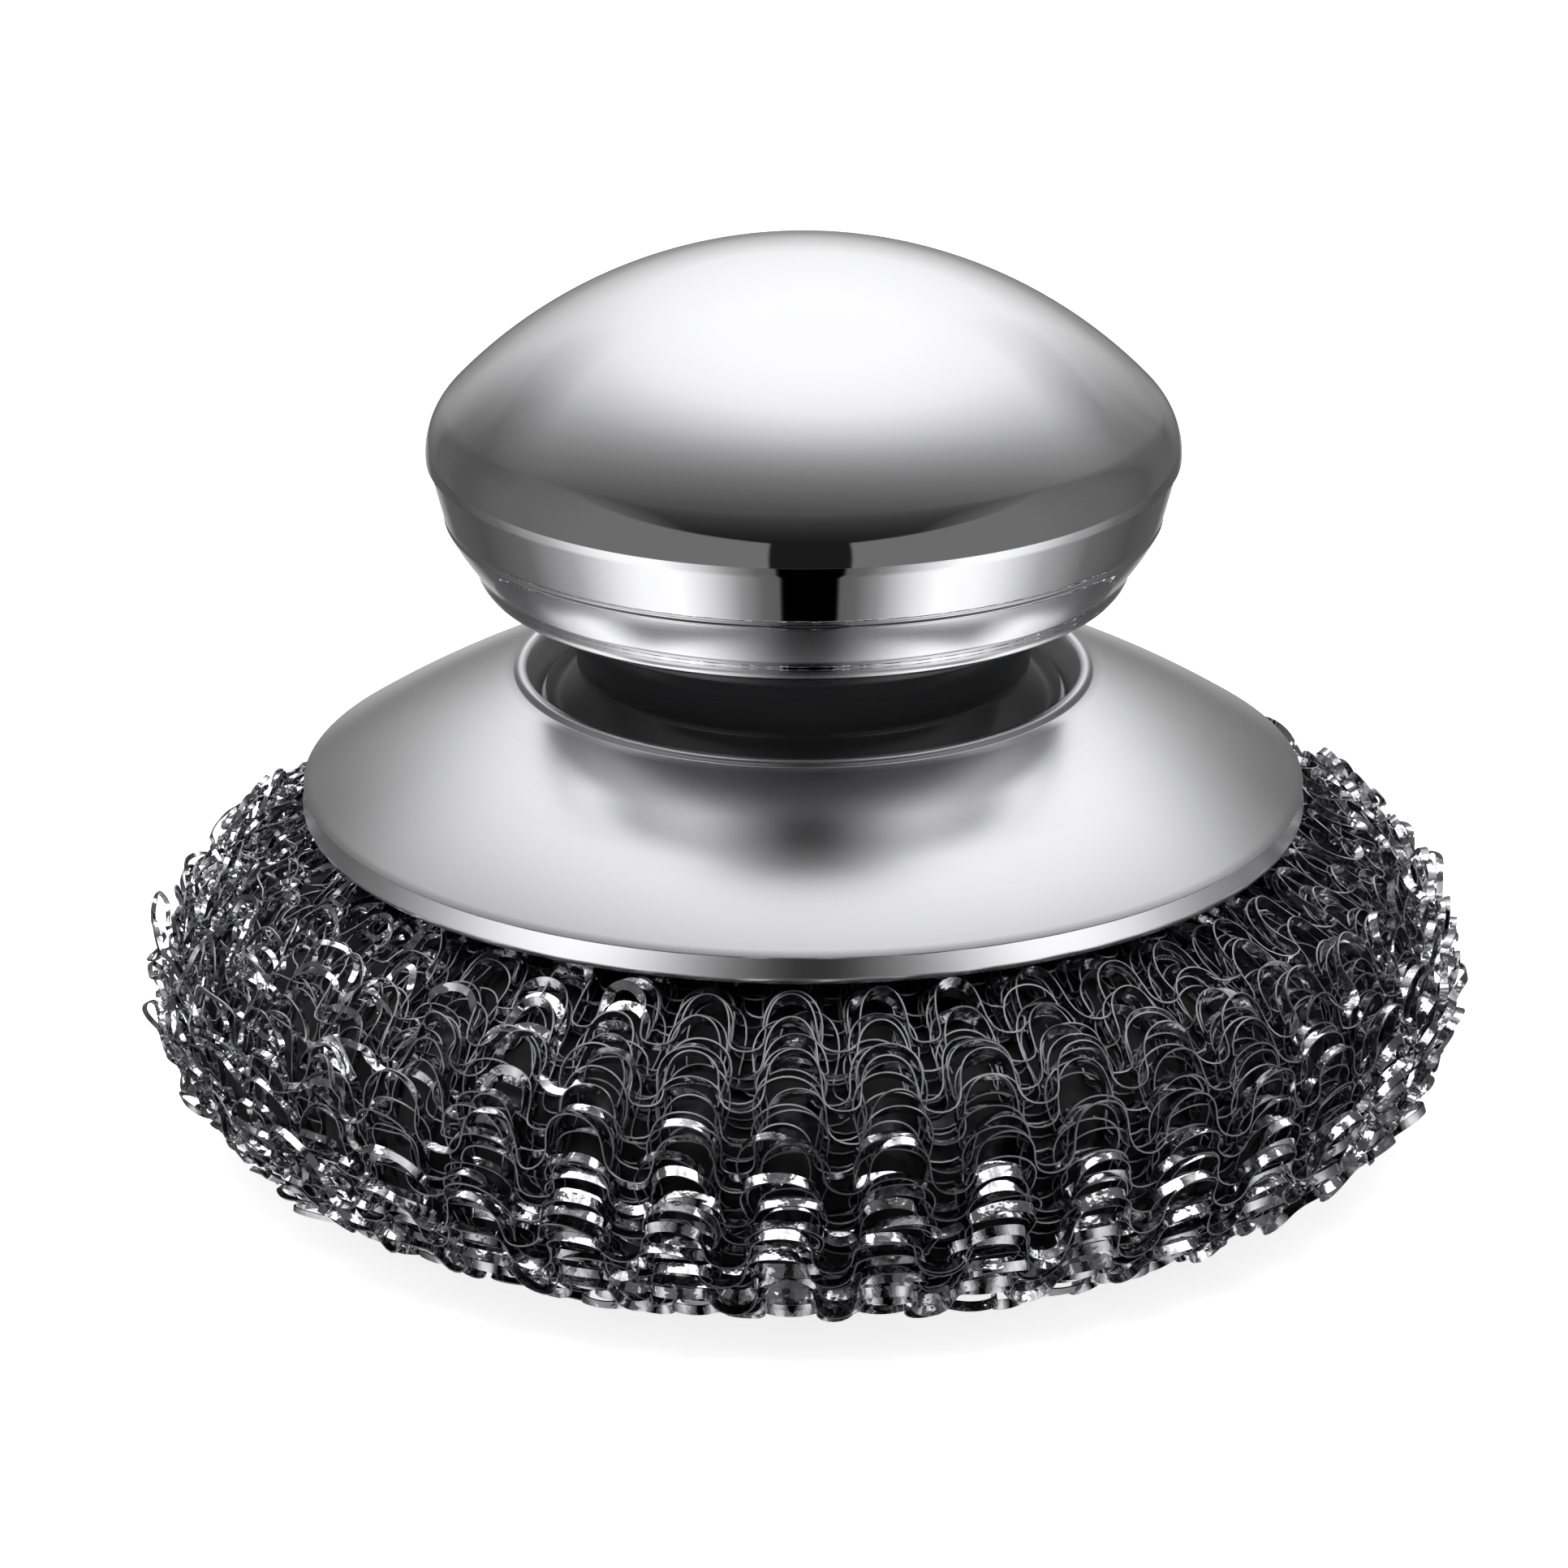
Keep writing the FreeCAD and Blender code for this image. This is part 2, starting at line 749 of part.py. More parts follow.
os.makedirs("parts", exist_ok=True)
for piece in pieces:
    piece.Shape.exportStep(f"parts/{piece.Label}.step")
    box = piece.Shape.optimalBoundingBox(False, False)
    print(
        f"{piece.Label}: {len(piece.Shape.Solids)} solid, {piece.Shape.Volume:.0f} mm3, "
        f"{box.XLength:.2f} x {box.YLength:.2f} mm, z {box.ZMin:.2f} to {box.ZMax:.2f} mm"
    )
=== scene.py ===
# %% [markdown]
# # A pot scrubber with a knob and a knitted steel pad
# The scrubber is a polished round knob on a black neck, a flared steel skirt under it, and a thick
# pad of knitted steel ribbon. This lesson dresses a finished mechanical model: the model gives every
# place and size, and the cells below add the surfaces that the eye sees.

# %% Load the model
import math

import bpy
import numpy as np
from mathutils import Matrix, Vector


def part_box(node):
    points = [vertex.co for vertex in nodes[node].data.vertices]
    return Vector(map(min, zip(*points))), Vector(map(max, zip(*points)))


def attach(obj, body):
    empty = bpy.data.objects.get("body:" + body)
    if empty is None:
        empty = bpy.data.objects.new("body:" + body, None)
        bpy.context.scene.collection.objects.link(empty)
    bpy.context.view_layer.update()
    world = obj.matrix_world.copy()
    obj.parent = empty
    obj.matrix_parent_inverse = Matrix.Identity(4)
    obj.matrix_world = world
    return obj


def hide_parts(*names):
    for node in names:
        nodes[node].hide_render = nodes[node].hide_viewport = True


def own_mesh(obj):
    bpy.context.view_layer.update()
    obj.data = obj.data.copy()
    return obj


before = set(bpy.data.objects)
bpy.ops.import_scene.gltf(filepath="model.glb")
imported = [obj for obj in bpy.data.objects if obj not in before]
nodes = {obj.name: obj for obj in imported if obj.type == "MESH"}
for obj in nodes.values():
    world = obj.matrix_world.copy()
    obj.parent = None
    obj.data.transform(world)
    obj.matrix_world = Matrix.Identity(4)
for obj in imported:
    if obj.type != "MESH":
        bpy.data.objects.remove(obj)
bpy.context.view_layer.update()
print("model nodes:", ", ".join(sorted(nodes)))

# %% [markdown]
# The scene is in metres, but a scrubber is easier to think of in millimetres, so every size below is
# in millimetres and becomes metres where a mesh is made. What the model already fixes, such as the
# radius and the height of a piece, is measured on the model and not written again.

# %% Measure the model
MM = 0.001


def reach(node):
    """The radius, the lowest level and the highest level of a round node, in millimetres."""
    low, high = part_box(node)
    return tuple(round(value / MM, 2) for value in (high.x, low.z, high.z))


knob_radius, dome_bottom, dome_top = reach("knob_dome")
band_radius, bowl_bottom, spigot_top = reach("knob_bowl")
skirt_radius, rim_bottom, lip_level = reach("skirt")
flange_radius, dish_underside, collar_top = reach("neck_collar")
pad_radius, _, pad_height = reach("pad")
clamp_radius, clamp_bottom, clamp_top = reach("clamp_disc")
SHELL_WALL = 0.6
SPINDLE_HOLE = 6.55
print("knob", knob_radius, "skirt", skirt_radius, "pad", pad_radius, "by", pad_height, "mm")

# %% [markdown]
# ## Camera
# The picture was taken with a long lens from in front and a little above, so the ellipses of the rims
# are flat and the knob hides the back of the lip. A long lens far away does the same here. The frame is
# square, so the sensor's width is the width of the picture.

# %% Camera
CAMERA_PLACE = (0.0, -544.7, 231.5)
CAMERA_AIM = (-1.45, 0.0, 27.0)
LENS = 177.5
SENSOR = 36.0

place = Vector(CAMERA_PLACE) * MM
sight = Vector(CAMERA_AIM) * MM - place
bpy.ops.object.select_all(action="DESELECT")
bpy.ops.object.camera_add(location=place, rotation=sight.to_track_quat("-Z", "Y").to_euler())
camera = bpy.context.object
camera.data.lens = LENS
camera.data.sensor_width = SENSOR
bpy.context.scene.camera = camera
bpy.context.scene.view_settings.view_transform = "Standard"
print("camera", round(sight.length / MM), "mm away")

# %% [markdown]
# ## Colour and nodes
# Colours are written as the hex codes that a paint program shows. Blender's nodes want linear light, so
# one function converts them. A second one adds a node, sets it up and links it. Every material below is
# made with it, and short functions on top of it give the outputs that are needed again and again.

# %% Colour and node helpers
NOISE_CELLS = 1 / MM


def colour(code):
    """An sRGB hex code as linear red, green, blue and alpha."""
    shares = [int(code[place : place + 2], 16) / 255 for place in (1, 3, 5)]
    linear = [s / 12.92 if s <= 0.04045 else ((s + 0.055) / 1.055) ** 2.4 for s in shares]
    return (*linear, 1.0)


def add_node(tree, kind, inputs=None, stops=(), **settings):
    """Add a node. An input is a value, or another node's output to link. A ramp has its stops."""
    made = tree.nodes.new(kind)
    for name, value in settings.items():
        setattr(made, name, value)
    for index, (place, shade) in enumerate(stops):
        if index > 1:
            made.color_ramp.elements.new(place)
        made.color_ramp.elements[index].position = place
        made.color_ramp.elements[index].color = shade
    for socket, value in (inputs or {}).items():
        if isinstance(value, bpy.types.NodeSocket):
            tree.links.new(value, made.inputs[socket])
        else:
            made.inputs[socket].default_value = value
    return made


def calc(tree, operation, *values):
    """A calculation with numbers or outputs, as an output."""
    return add_node(tree, "ShaderNodeMath", dict(enumerate(values)), operation=operation).outputs[0]


def ranged(tree, value, low, high, at_low=0.0, at_high=1.0):
    """A value carried from one range to another and held at its ends, as an output."""
    inputs = dict(enumerate((value, low, high, at_low, at_high)))
    return add_node(tree, "ShaderNodeMapRange", inputs).outputs[0]


def between(tree, share, first, second):
    """A number between two others, as an output."""
    inputs = {"Factor": share, "A": first, "B": second}
    return add_node(tree, "ShaderNodeMix", inputs, data_type="FLOAT").outputs[0]


def noise(tree, vector, grain, detail):
    """Noise with its grain in millimetres, as an output."""
    inputs = {"Vector": vector, "Scale": NOISE_CELLS / grain, "Detail": detail}
    return add_node(tree, "ShaderNodeTexNoise", inputs).outputs[0]


def bumped(tree, height, depth):
    """A normal from a pattern of heights, with its depth in millimetres, as an output."""
    inputs = {"Height": height, "Strength": 1.0, "Distance": depth * MM}
    return add_node(tree, "ShaderNodeBump", inputs).outputs[0]


def object_place(tree):
    """The place on the object, as an output."""
    return add_node(tree, "ShaderNodeTexCoord").outputs["Object"]


def show(tree, shader):
    """Put a shader's output on the surface."""
    add_node(tree, "ShaderNodeOutputMaterial", {"Surface": shader})


def new_material(name):
    """An empty node material and its tree."""
    material = bpy.data.materials.new(name)
    material.use_nodes = True
    material.node_tree.nodes.clear()
    return material, material.node_tree


def dress(piece, material):
    """Give a piece one material."""
    piece.data.materials.clear()
    piece.data.materials.append(material)


# %% [markdown]
# ## Turned pieces
# The knob's two shells, the neck and the skirt are all round. Each one is drawn as half of its section,
# point after point with Extrude, and then spun round the axis, as a metal spinner would form it on a
# lathe. An arc in the section is worked out from its centre, radius and two angles.

# %% Turned piece helper
TURN_STEPS = 160
MERGE_DISTANCE = 0.004
BEVEL_FROM = math.radians(40)
SMOOTH_BELOW = math.radians(35)


def arc(centre, radius, start, end, steps):
    """Points on an arc from one angle to another, in degrees, 0 outwards and 90 up."""
    points = []
    for step in range(steps + 1):
        angle = math.radians(start + (end - start) * step / steps)
        points.append((centre[0] + radius * math.cos(angle), centre[1] + radius * math.sin(angle)))
    return points


def bowed(start, end, radius, steps):
    """Points on a shallow arc between two points, whose centre lies to the left of the way."""
    along = Vector(end) - Vector(start)
    left = Vector((-along.y, along.x)).normalized()
    centre = (Vector(start) + Vector(end)) / 2 + left * math.sqrt(radius**2 - along.length_squared / 4)
    first, last = (math.degrees(math.atan2(*(Vector(point) - centre).yx)) for point in (start, end))
    return arc(centre, radius, first, last, steps)


def straight(start, end, steps):
    """Points on a straight line. Short steps keep a bevel at its ends from bending its reflection."""
    return [tuple(Vector(start).lerp(Vector(end), step / steps)) for step in range(steps + 1)]


def turned_piece(name, section, closed=True, edge=0.0, steps=TURN_STEPS):
    """Spin a section of (radius, height) points in mm. Its sharp edges may be bevelled."""
    bpy.ops.object.select_all(action="DESELECT")
    bpy.ops.mesh.primitive_plane_add(size=MM)
    piece = bpy.context.object
    piece.name = name
    bpy.ops.object.mode_set(mode="EDIT")
    bpy.ops.mesh.merge(type="CENTER")
    here = (0.0, 0.0)
    for index, point in enumerate(section):
        step = ((point[0] - here[0]) * MM, 0.0, (point[1] - here[1]) * MM)
        if index == 0:
            bpy.ops.transform.translate(value=step)
        else:
            bpy.ops.mesh.extrude_region_move(TRANSFORM_OT_translate={"value": step})
        here = point
    if closed:
        step = ((section[0][0] - here[0]) * MM, 0.0, (section[0][1] - here[1]) * MM)
        bpy.ops.mesh.extrude_region_move(TRANSFORM_OT_translate={"value": step})
    bpy.ops.mesh.select_all(action="SELECT")
    bpy.ops.mesh.spin(steps=steps, angle=math.tau, center=(0, 0, 0), axis=(0, 0, 1))
    bpy.ops.mesh.select_all(action="SELECT")
    bpy.ops.mesh.remove_doubles(threshold=MERGE_DISTANCE * MM)
    bpy.ops.mesh.normals_make_consistent(inside=False)
    bpy.ops.object.mode_set(mode="OBJECT")
    if edge:
        bevel = piece.modifiers.new("worn edge", "BEVEL")
        bevel.width = edge * MM
        bevel.segments = 3
        bevel.limit_method = "ANGLE"
        bevel.angle_limit = BEVEL_FROM
        bpy.ops.object.modifier_apply(modifier=bevel.name)
    bpy.ops.object.shade_smooth_by_angle(angle=SMOOTH_BELOW)
    print(name, len(piece.data.polygons), "faces")
    return piece


# %% [markdown]
# ## Knob dome
# The upper shell is a wide crown that rolls over a tight shoulder into the knob's edge. Two arcs that
# touch without a kink give the two different reflections of the real one: a broad soft highlight on the
# crown and a narrow dark band on the shoulder.

# %% Knob dome
SHOULDER = 5.4
DOME_EDGE = 0.4
HEM_RADIUS = 26.4

widest = dome_bottom + DOME_EDGE
dome_height = dome_top - widest
shoulder_centre = (knob_radius - SHOULDER, widest)
crown_radius = knob_radius**2 + dome_height**2 - 2 * knob_radius * SHOULDER
crown_radius /= 2 * (dome_height - SHOULDER)
crown_centre = (0.0, dome_top - crown_radius)
joint = math.degrees(math.atan2(shoulder_centre[1] - crown_centre[1], shoulder_centre[0]))
edge_angle = math.degrees(math.asin(DOME_EDGE / SHOULDER))
hem_angle = math.degrees(math.acos((HEM_RADIUS - shoulder_centre[0]) / (SHOULDER - SHELL_WALL)))
dome = turned_piece(
    "polished_dome",
    arc(crown_centre, crown_radius, 90, joint, 30)
    + arc(shoulder_centre, SHOULDER, joint, -edge_angle, 20)[1:]
    + [(HEM_RADIUS, dome_bottom)]
    + arc(shoulder_centre, SHOULDER - SHELL_WALL, hem_angle, joint, 8)
    + arc(crown_centre, crown_radius - SHELL_WALL, joint, 90, 16)[1:],
    closed=False,
)
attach(dome, "knob")
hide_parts("knob_dome")

# %% [markdown]
# ## Knob bowl
# Below the dome sits a bowl with two bright bands and a fine crease between them. The upper band is
# straight and the lower one bulges a little. The floor is flat and rests on the neck. The edges get a
# small bevel, because pressed steel never has a knife edge.

# %% Knob bowl
BOWL_CORNER = 1.8
BOWL_FOOT = knob_radius - 3.6
BAND_BOW = 20.0
CREASE_RADIUS = knob_radius - 1.25
CREASE_DEPTH = 0.16
CREASE_RISE = 5.5
SPIGOT_RADIUS = band_radius - 0.9
BAND_TOP = knob_radius - 0.2
BAND_STEPS = 14

crease = bowl_bottom + CREASE_RISE
floor_edge = BOWL_FOOT - BOWL_CORNER
corner_centre = (floor_edge, bowl_bottom + BOWL_CORNER)
bowl = turned_piece(
    "banded_bowl",
    [(SPINDLE_HOLE, bowl_bottom)]
    + arc(corner_centre, BOWL_CORNER, -90, 0, 8)[:-1]
    + bowed((BOWL_FOOT, corner_centre[1]), (CREASE_RADIUS, crease - CREASE_DEPTH), BAND_BOW, BAND_STEPS)
    + [(CREASE_RADIUS - CREASE_DEPTH, crease)]
    + straight((CREASE_RADIUS, crease + CREASE_DEPTH), (BAND_TOP, dome_bottom), BAND_STEPS)
    + [
        (SPIGOT_RADIUS, dome_bottom),
        (SPIGOT_RADIUS, spigot_top),
        (SPIGOT_RADIUS - SHELL_WALL, spigot_top),
        (SPIGOT_RADIUS - SHELL_WALL, dome_bottom - SHELL_WALL),
        (CREASE_RADIUS - CREASE_DEPTH - SHELL_WALL, crease),
        (BOWL_FOOT - SHELL_WALL, bowl_bottom + BOWL_CORNER),
    ]
    + arc(corner_centre, BOWL_CORNER - SHELL_WALL, -15, -90, 4)
    + [(SPINDLE_HOLE, bowl_bottom + SHELL_WALL)],
    edge=0.1,
)
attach(bowl, "knob")
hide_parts("knob_bowl")

# %% [markdown]
# ## Neck collar
# The neck is moulded in black plastic: a sloping foot in the skirt's dish, a hollow waist for the
# fingertips and a flange under the bowl.

# %% Neck collar
DISH_FLOOR = dish_underside + SHELL_WALL
COLLAR_FOOT = 19.3
FOOT_HEIGHT = 0.8
FOOT_RISE = 1.8
WAIST = 16.8
WAIST_HOLLOW = 7.0
FLANGE_HEIGHT = 1.6
COLLAR_SPIGOT = 9.6

waist_bottom = DISH_FLOOR + FOOT_HEIGHT + FOOT_RISE
flange_bottom = collar_top - FLANGE_HEIGHT
collar = turned_piece(
    "black_neck",
    [
        (SPINDLE_HOLE, dish_underside),
        (COLLAR_SPIGOT, dish_underside),
        (COLLAR_SPIGOT, DISH_FLOOR),
        (COLLAR_FOOT, DISH_FLOOR),
        (COLLAR_FOOT, DISH_FLOOR + FOOT_HEIGHT),
    ]
    + bowed((flange_radius, flange_bottom), (WAIST, waist_bottom), WAIST_HOLLOW, 10)[::-1]
    + [(flange_radius, collar_top), (SPINDLE_HOLE, collar_top)],
    edge=0.25,
)
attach(collar, "base")
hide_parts("neck_collar")

# %% [markdown]
# ## Skirt
# The skirt is one pressed sheet: a bowed cone whose outer rim is turned down and curled under, and whose
# inner edge rolls over a lip into the dish that holds the neck.

# %% Skirt
RIM_RADIUS = skirt_radius - 0.25
RIM_BEND = 0.6
RIM_HEIGHT = 2.1
CURL = RIM_RADIUS - 1.6
SKIRT_BOW = 84.0
LIP_RADIUS = 21.6
LIP_ROLL = 0.5
INNER_DROP = 0.25
DISH_RADIUS = 19.6
DISH_HOLE = COLLAR_SPIGOT + 0.05

rim_crease = rim_bottom + RIM_HEIGHT
lip_centre = (LIP_RADIUS - LIP_ROLL, lip_level - LIP_ROLL)
inner_rim = (RIM_RADIUS - SHELL_WALL, rim_crease - INNER_DROP)
inner_lip = (lip_centre[0], lip_centre[1] - SHELL_WALL)
skirt = turned_piece(
    "flared_skirt",
    [(CURL, rim_bottom)]
    + arc((skirt_radius - RIM_BEND, rim_bottom + RIM_BEND), RIM_BEND, -90, 10, 6)
    + [(RIM_RADIUS, rim_crease)]
    + bowed((skirt_radius, rim_crease), (LIP_RADIUS, lip_centre[1]), SKIRT_BOW, 24)
    + arc(lip_centre, LIP_ROLL, 0, 180, 8)[1:]
    + [
        (DISH_RADIUS, DISH_FLOOR),
        (DISH_HOLE, DISH_FLOOR),
        (DISH_HOLE, dish_underside),
        (DISH_RADIUS + SHELL_WALL, dish_underside),
    ]
    + bowed(inner_rim, inner_lip, SKIRT_BOW, 12)[::-1]
    + [(RIM_RADIUS - SHELL_WALL, rim_bottom + SHELL_WALL), (CURL, rim_bottom + SHELL_WALL)],
    edge=0.12,
)
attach(skirt, "base")
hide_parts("skirt")

# %% [markdown]
# ## Knitted pad
# The pad is a tube of flat steel ribbon, knitted on a circular machine, rolled up on itself and clamped
# in the middle. Its back side faces out: each stitch shows its round head, and the heads stand in
# columns. The ribbon stands on edge, so a stitch that faces the eye is a thin line, and one that is seen
# from the side is a bright strip. A stitch repeats thousands of times and no modifier draws one, so the
# ribbons are worked out as curves on the pad's section, which is drawn first: from under the skirt,
# down the bulging wall, under the pad and up into its well.

# %% Section of the pad
PAD_FOOT = pad_radius - 9.6
PAD_WALL_HEIGHT = 24.2
UNDER_SKIRT = 7.0
CROWN_START = 33.0 - UNDER_SKIRT
CROWN_EDGE = skirt_radius - 1.2
WELL_RADIUS = clamp_radius + 1.0
WELL_MOUTH = 3.0

half_wall = PAD_WALL_HEIGHT / 2
wall_radius = (half_wall**2 + (pad_radius - PAD_FOOT) ** 2) / (2 * (pad_radius - PAD_FOOT))
wall_centre = (pad_radius - wall_radius, half_wall)
wall_end = math.degrees(math.acos((PAD_FOOT - wall_centre[0]) / wall_radius))
pad_section = np.array(
    [(CROWN_START, pad_height), (CROWN_EDGE, pad_height)]
    + arc(wall_centre, wall_radius, wall_end, -wall_end, 60)
    + arc((WELL_RADIUS + WELL_MOUTH, WELL_MOUTH), WELL_MOUTH, -90, -180, 10)
    + [(WELL_RADIUS, clamp_bottom)]
)
steps = np.hypot(*np.diff(pad_section, axis=0).T)
section_run = np.concatenate([[0.0], np.cumsum(steps)]) - UNDER_SKIRT
slope = np.gradient(pad_section, section_run, axis=0)
section_out = np.stack([-slope[:, 1], slope[:, 0]], axis=1)
section_out /= np.linalg.norm(section_out, axis=1)[:, None]
print("pad section", round(np.sum(steps), 1), "mm long")

# %% [markdown]
# A ribbon is a line with a width and a thickness. Its narrow faces are marked, because the edge of a
# rolled ribbon looks duller than its face.

# %% Ribbon helper
RIBBON_WIDTH = 0.75
RIBBON_THICKNESS = 0.12
FLOOR_GAP = 0.05
RIBBON_SMOOTH_BELOW = math.radians(50)
EDGE_MARK = "ribbon_edge"


def ribbon_mesh(name, lines, ways, width):
    """One mesh of closed rings of flat ribbon: each ring's points, the way and size of its width."""
    points, faces, edges, total = [], [], [], 0
    for line, width_way in zip(lines, ways):
        ahead = np.roll(line, -1, axis=0) - np.roll(line, 1, axis=0)
        ahead /= np.linalg.norm(ahead, axis=1)[:, None]
        wide = width_way - ahead * np.sum(width_way * ahead, axis=1)[:, None]
        wide /= np.linalg.norm(wide, axis=1)[:, None]
        thick = np.cross(ahead, wide) * RIBBON_THICKNESS / 2
        wide *= width[:, None] / 2
        corners = [line + wide + thick, line - wide + thick, line - wide - thick, line + wide - thick]
        start = np.arange(len(line))
        after = np.roll(start, -1)
        for side in range(4):
            across = (side + 1) % 4
            quad = [4 * start + side, 4 * start + across, 4 * after + across, 4 * after + side]
            faces.append(total + np.stack(quad, axis=1))
            edges.append(np.full(len(line), float(side % 2)))
        points.append(np.stack(corners, axis=1).reshape(-1, 3))
        total += 4 * len(line)
    points = np.concatenate(points)
    points[:, 2] = np.maximum(points[:, 2], FLOOR_GAP)
    mesh = bpy.data.meshes.new(name)
    mesh.from_pydata((points * MM).tolist(), [], np.concatenate(faces).tolist())
    is_edge = mesh.attributes.new(EDGE_MARK, "FLOAT", "FACE")
    is_edge.data.foreach_set("value", np.concatenate(edges))
    piece = bpy.data.objects.new(name, mesh)
    bpy.context.scene.collection.objects.link(piece)
    bpy.ops.object.select_all(action="DESELECT")
    piece.select_set(True)
    bpy.context.view_layer.objects.active = piece
    bpy.ops.object.shade_smooth_by_angle(angle=RIBBON_SMOOTH_BELOW)
    print(name, 2 * len(mesh.polygons), "triangles")
    return piece


# %% [markdown]
# A course of stitches is a wave that runs round the pad and leans back on itself, so that its heads
# close to round loops. Each one strays a little from the next. The pad has been handled: at the left
# and behind its loops are crumpled, and in front they still stand in order. The skin has short stitches,
# and the layers under it have long ones that dip deeper.

# %% Stitches
WALES = 40
SAMPLES = 32
COURSE = 6.5
SKIN_STITCH = {"height": 2.1, "lean": 0.42, "depth": 0.9}
INNER_STITCH = {"height": 3.4, "lean": 0.85, "depth": 1.6}
HEAD_SHARE = 0.5
HEAD_CROWDING = 0.45
HEAD_LIFT = 0.25
FOOT_TUCK = 0.5
FOOT_TURN = 1.5
SIDE_CALM = 0.4
# How crumpled the knit is, by the angle round it from the front to the right
CRUMPLED_AT = np.radians([0, 40, 90, 180, 220, 300, 330, 360])
CRUMPLED = [0.0, 0.05, 0.35, 0.5, 1.0, 1.0, 0.2, 0.0]
LEFT_DISORDER = 1.5
BACK_DISORDER = 0.6
CRUMPLES = 6
CRUMPLE = {"across": 0.1, "along": 0.6, "lift": 0.3, "sink": 0.2, "roll": 0.8, "narrow": 0.5}
STRAY = {"across": 0.04, "height": 0.08, "along": 0.35, "lift": 0.15, "ripple": 0.05}
STRAY_ROLL = 0.2
STRAY_TWIST = 0.25
FIRST_COLUMN = -0.15
# How far the ribbon is laid down on its side, in radians, by its place along the section
HEAD_LAID = ([10, 16, 21, 36], [0.0, 0.35, 0.8, 0.5])
VALLEY_LAID = ([4, 12, 20], [0.9, 0.5, 0.0])
# How far the pad swells, in millimetres, by the place along its section
SLUMP = ([10, 22, 30, 39], [0.0, 0.3, 0.9, 0.0])
RIGHT_LEAN = ([2, 9, 16, 26], [0, 1.9, 1.4, 0])
RIGHT_AT = math.radians(105)


def around(values, turn):
    """Values given at even steps round the ring, carried smoothly along it."""
    count = values.shape[1]
    place = turn * count / WALES
    before = np.floor(place).astype(int)
    share = place - before
    share = share * share * (3 - 2 * share)
    return values[:, before % count] * (1 - share) + values[:, (before + 1) % count] * share


def fullness(bearing, run):
    """How far the pad swells past its section: it slumps above its foot and leans out at the right."""
    slump = np.interp(run, *SLUMP)
    right = np.clip(np.cos(bearing - RIGHT_AT), 0, 1)
    return slump + right * np.interp(run, *RIGHT_LEAN)


def knit(name, inset, form, first, last, seed):
    """One layer of the knit, from one place along the section to another, at a depth under its skin."""
    random = np.random.default_rng(seed)
    courses = np.arange(first, last, COURSE)
    step = np.arange(WALES * SAMPLES) / SAMPLES
    turn = step - HEAD_CROWDING * np.sin(math.tau * step) / math.tau
    phase = math.tau * turn

    def stray(size, per_stitch=1):
        return around(random.normal(0, size, (len(courses), WALES * per_stitch)), turn)

    bearing_rest = math.tau * turn / WALES
    disorder = 1 + LEFT_DISORDER * np.clip(np.sin(-bearing_rest), 0, 1)
    disorder = disorder + BACK_DISORDER * np.clip(-np.cos(bearing_rest), 0, 1)
    crumple = np.interp(bearing_rest, CRUMPLED_AT, CRUMPLED)
    across = turn + form["lean"] * (np.sin(2 * phase) + HEAD_SHARE * np.sin(phase)) / math.tau
    across = across + stray(STRAY["across"]) * disorder
    across = across + random.normal(FIRST_COLUMN, STRAY["across"], (len(courses), 1))
    across = across + stray(CRUMPLE["across"], CRUMPLES) * crumple
    bearing = math.tau * across / WALES
    height = form["height"] * (1 + stray(STRAY["height"]) * disorder)
    run = courses[:, None] - height * np.cos(phase) + stray(STRAY["along"]) * disorder
    run = run + stray(CRUMPLE["along"], CRUMPLES) * crumple
    run = np.clip(run, section_run[0], section_run[-1])
    out = np.interp(run, section_run, section_out[:, 0])
    up = np.interp(run, section_run, section_out[:, 1])
    underside = np.clip(-up, 0, 1)
    depth = form["depth"] * (1 - SIDE_CALM * np.abs(np.sin(bearing))) * (1 - FOOT_TURN * underside)
    lift = depth * np.cos(phase) + HEAD_LIFT * np.cos(2 * phase)
    lift = lift - inset - FOOT_TUCK * underside
    lift = lift + stray(STRAY["lift"]) * disorder + stray(STRAY["ripple"], 4)
    lift = lift + (stray(CRUMPLE["lift"], CRUMPLES) - CRUMPLE["sink"]) * crumple
    radius = np.interp(run, section_run, pad_section[:, 0]) + lift * out + fullness(bearing, run)
    level = np.interp(run, section_run, pad_section[:, 1]) + lift * up
    sideways, forwards = np.sin(bearing), -np.cos(bearing)
    line = np.stack([radius * sideways, radius * forwards, level], axis=2)
    facing = np.stack([out * sideways, out * forwards, up], axis=2)
    down_wale = np.stack([-up * sideways, -up * forwards, out], axis=2)
    head = (1 + np.cos(phase)) / 2
    laid = head * np.interp(run, *HEAD_LAID) + (1 - head) * np.interp(run, *VALLEY_LAID)
    roll = (stray(STRAY_ROLL) + stray(STRAY_TWIST, 4)) * disorder - laid
    roll = roll + stray(CRUMPLE["roll"], CRUMPLES) * crumple
    width_way = facing * np.cos(roll)[..., None] + down_wale * np.sin(roll)[..., None]
    return ribbon_mesh(name, line, width_way, RIBBON_WIDTH * (1 - CRUMPLE["narrow"] * crumple))


# %% Layers of the knit
LAYER_COUNT = 8
FULL_LAYERS = 3
SKIN_LAYERS = 3
SKIN_INSET = 1.35
SECOND_INSET = 0.3
LAYER_STEP = 0.3
WALL_END = 50.0
WELL_MARGIN = 2
FIRST_SEED = 11

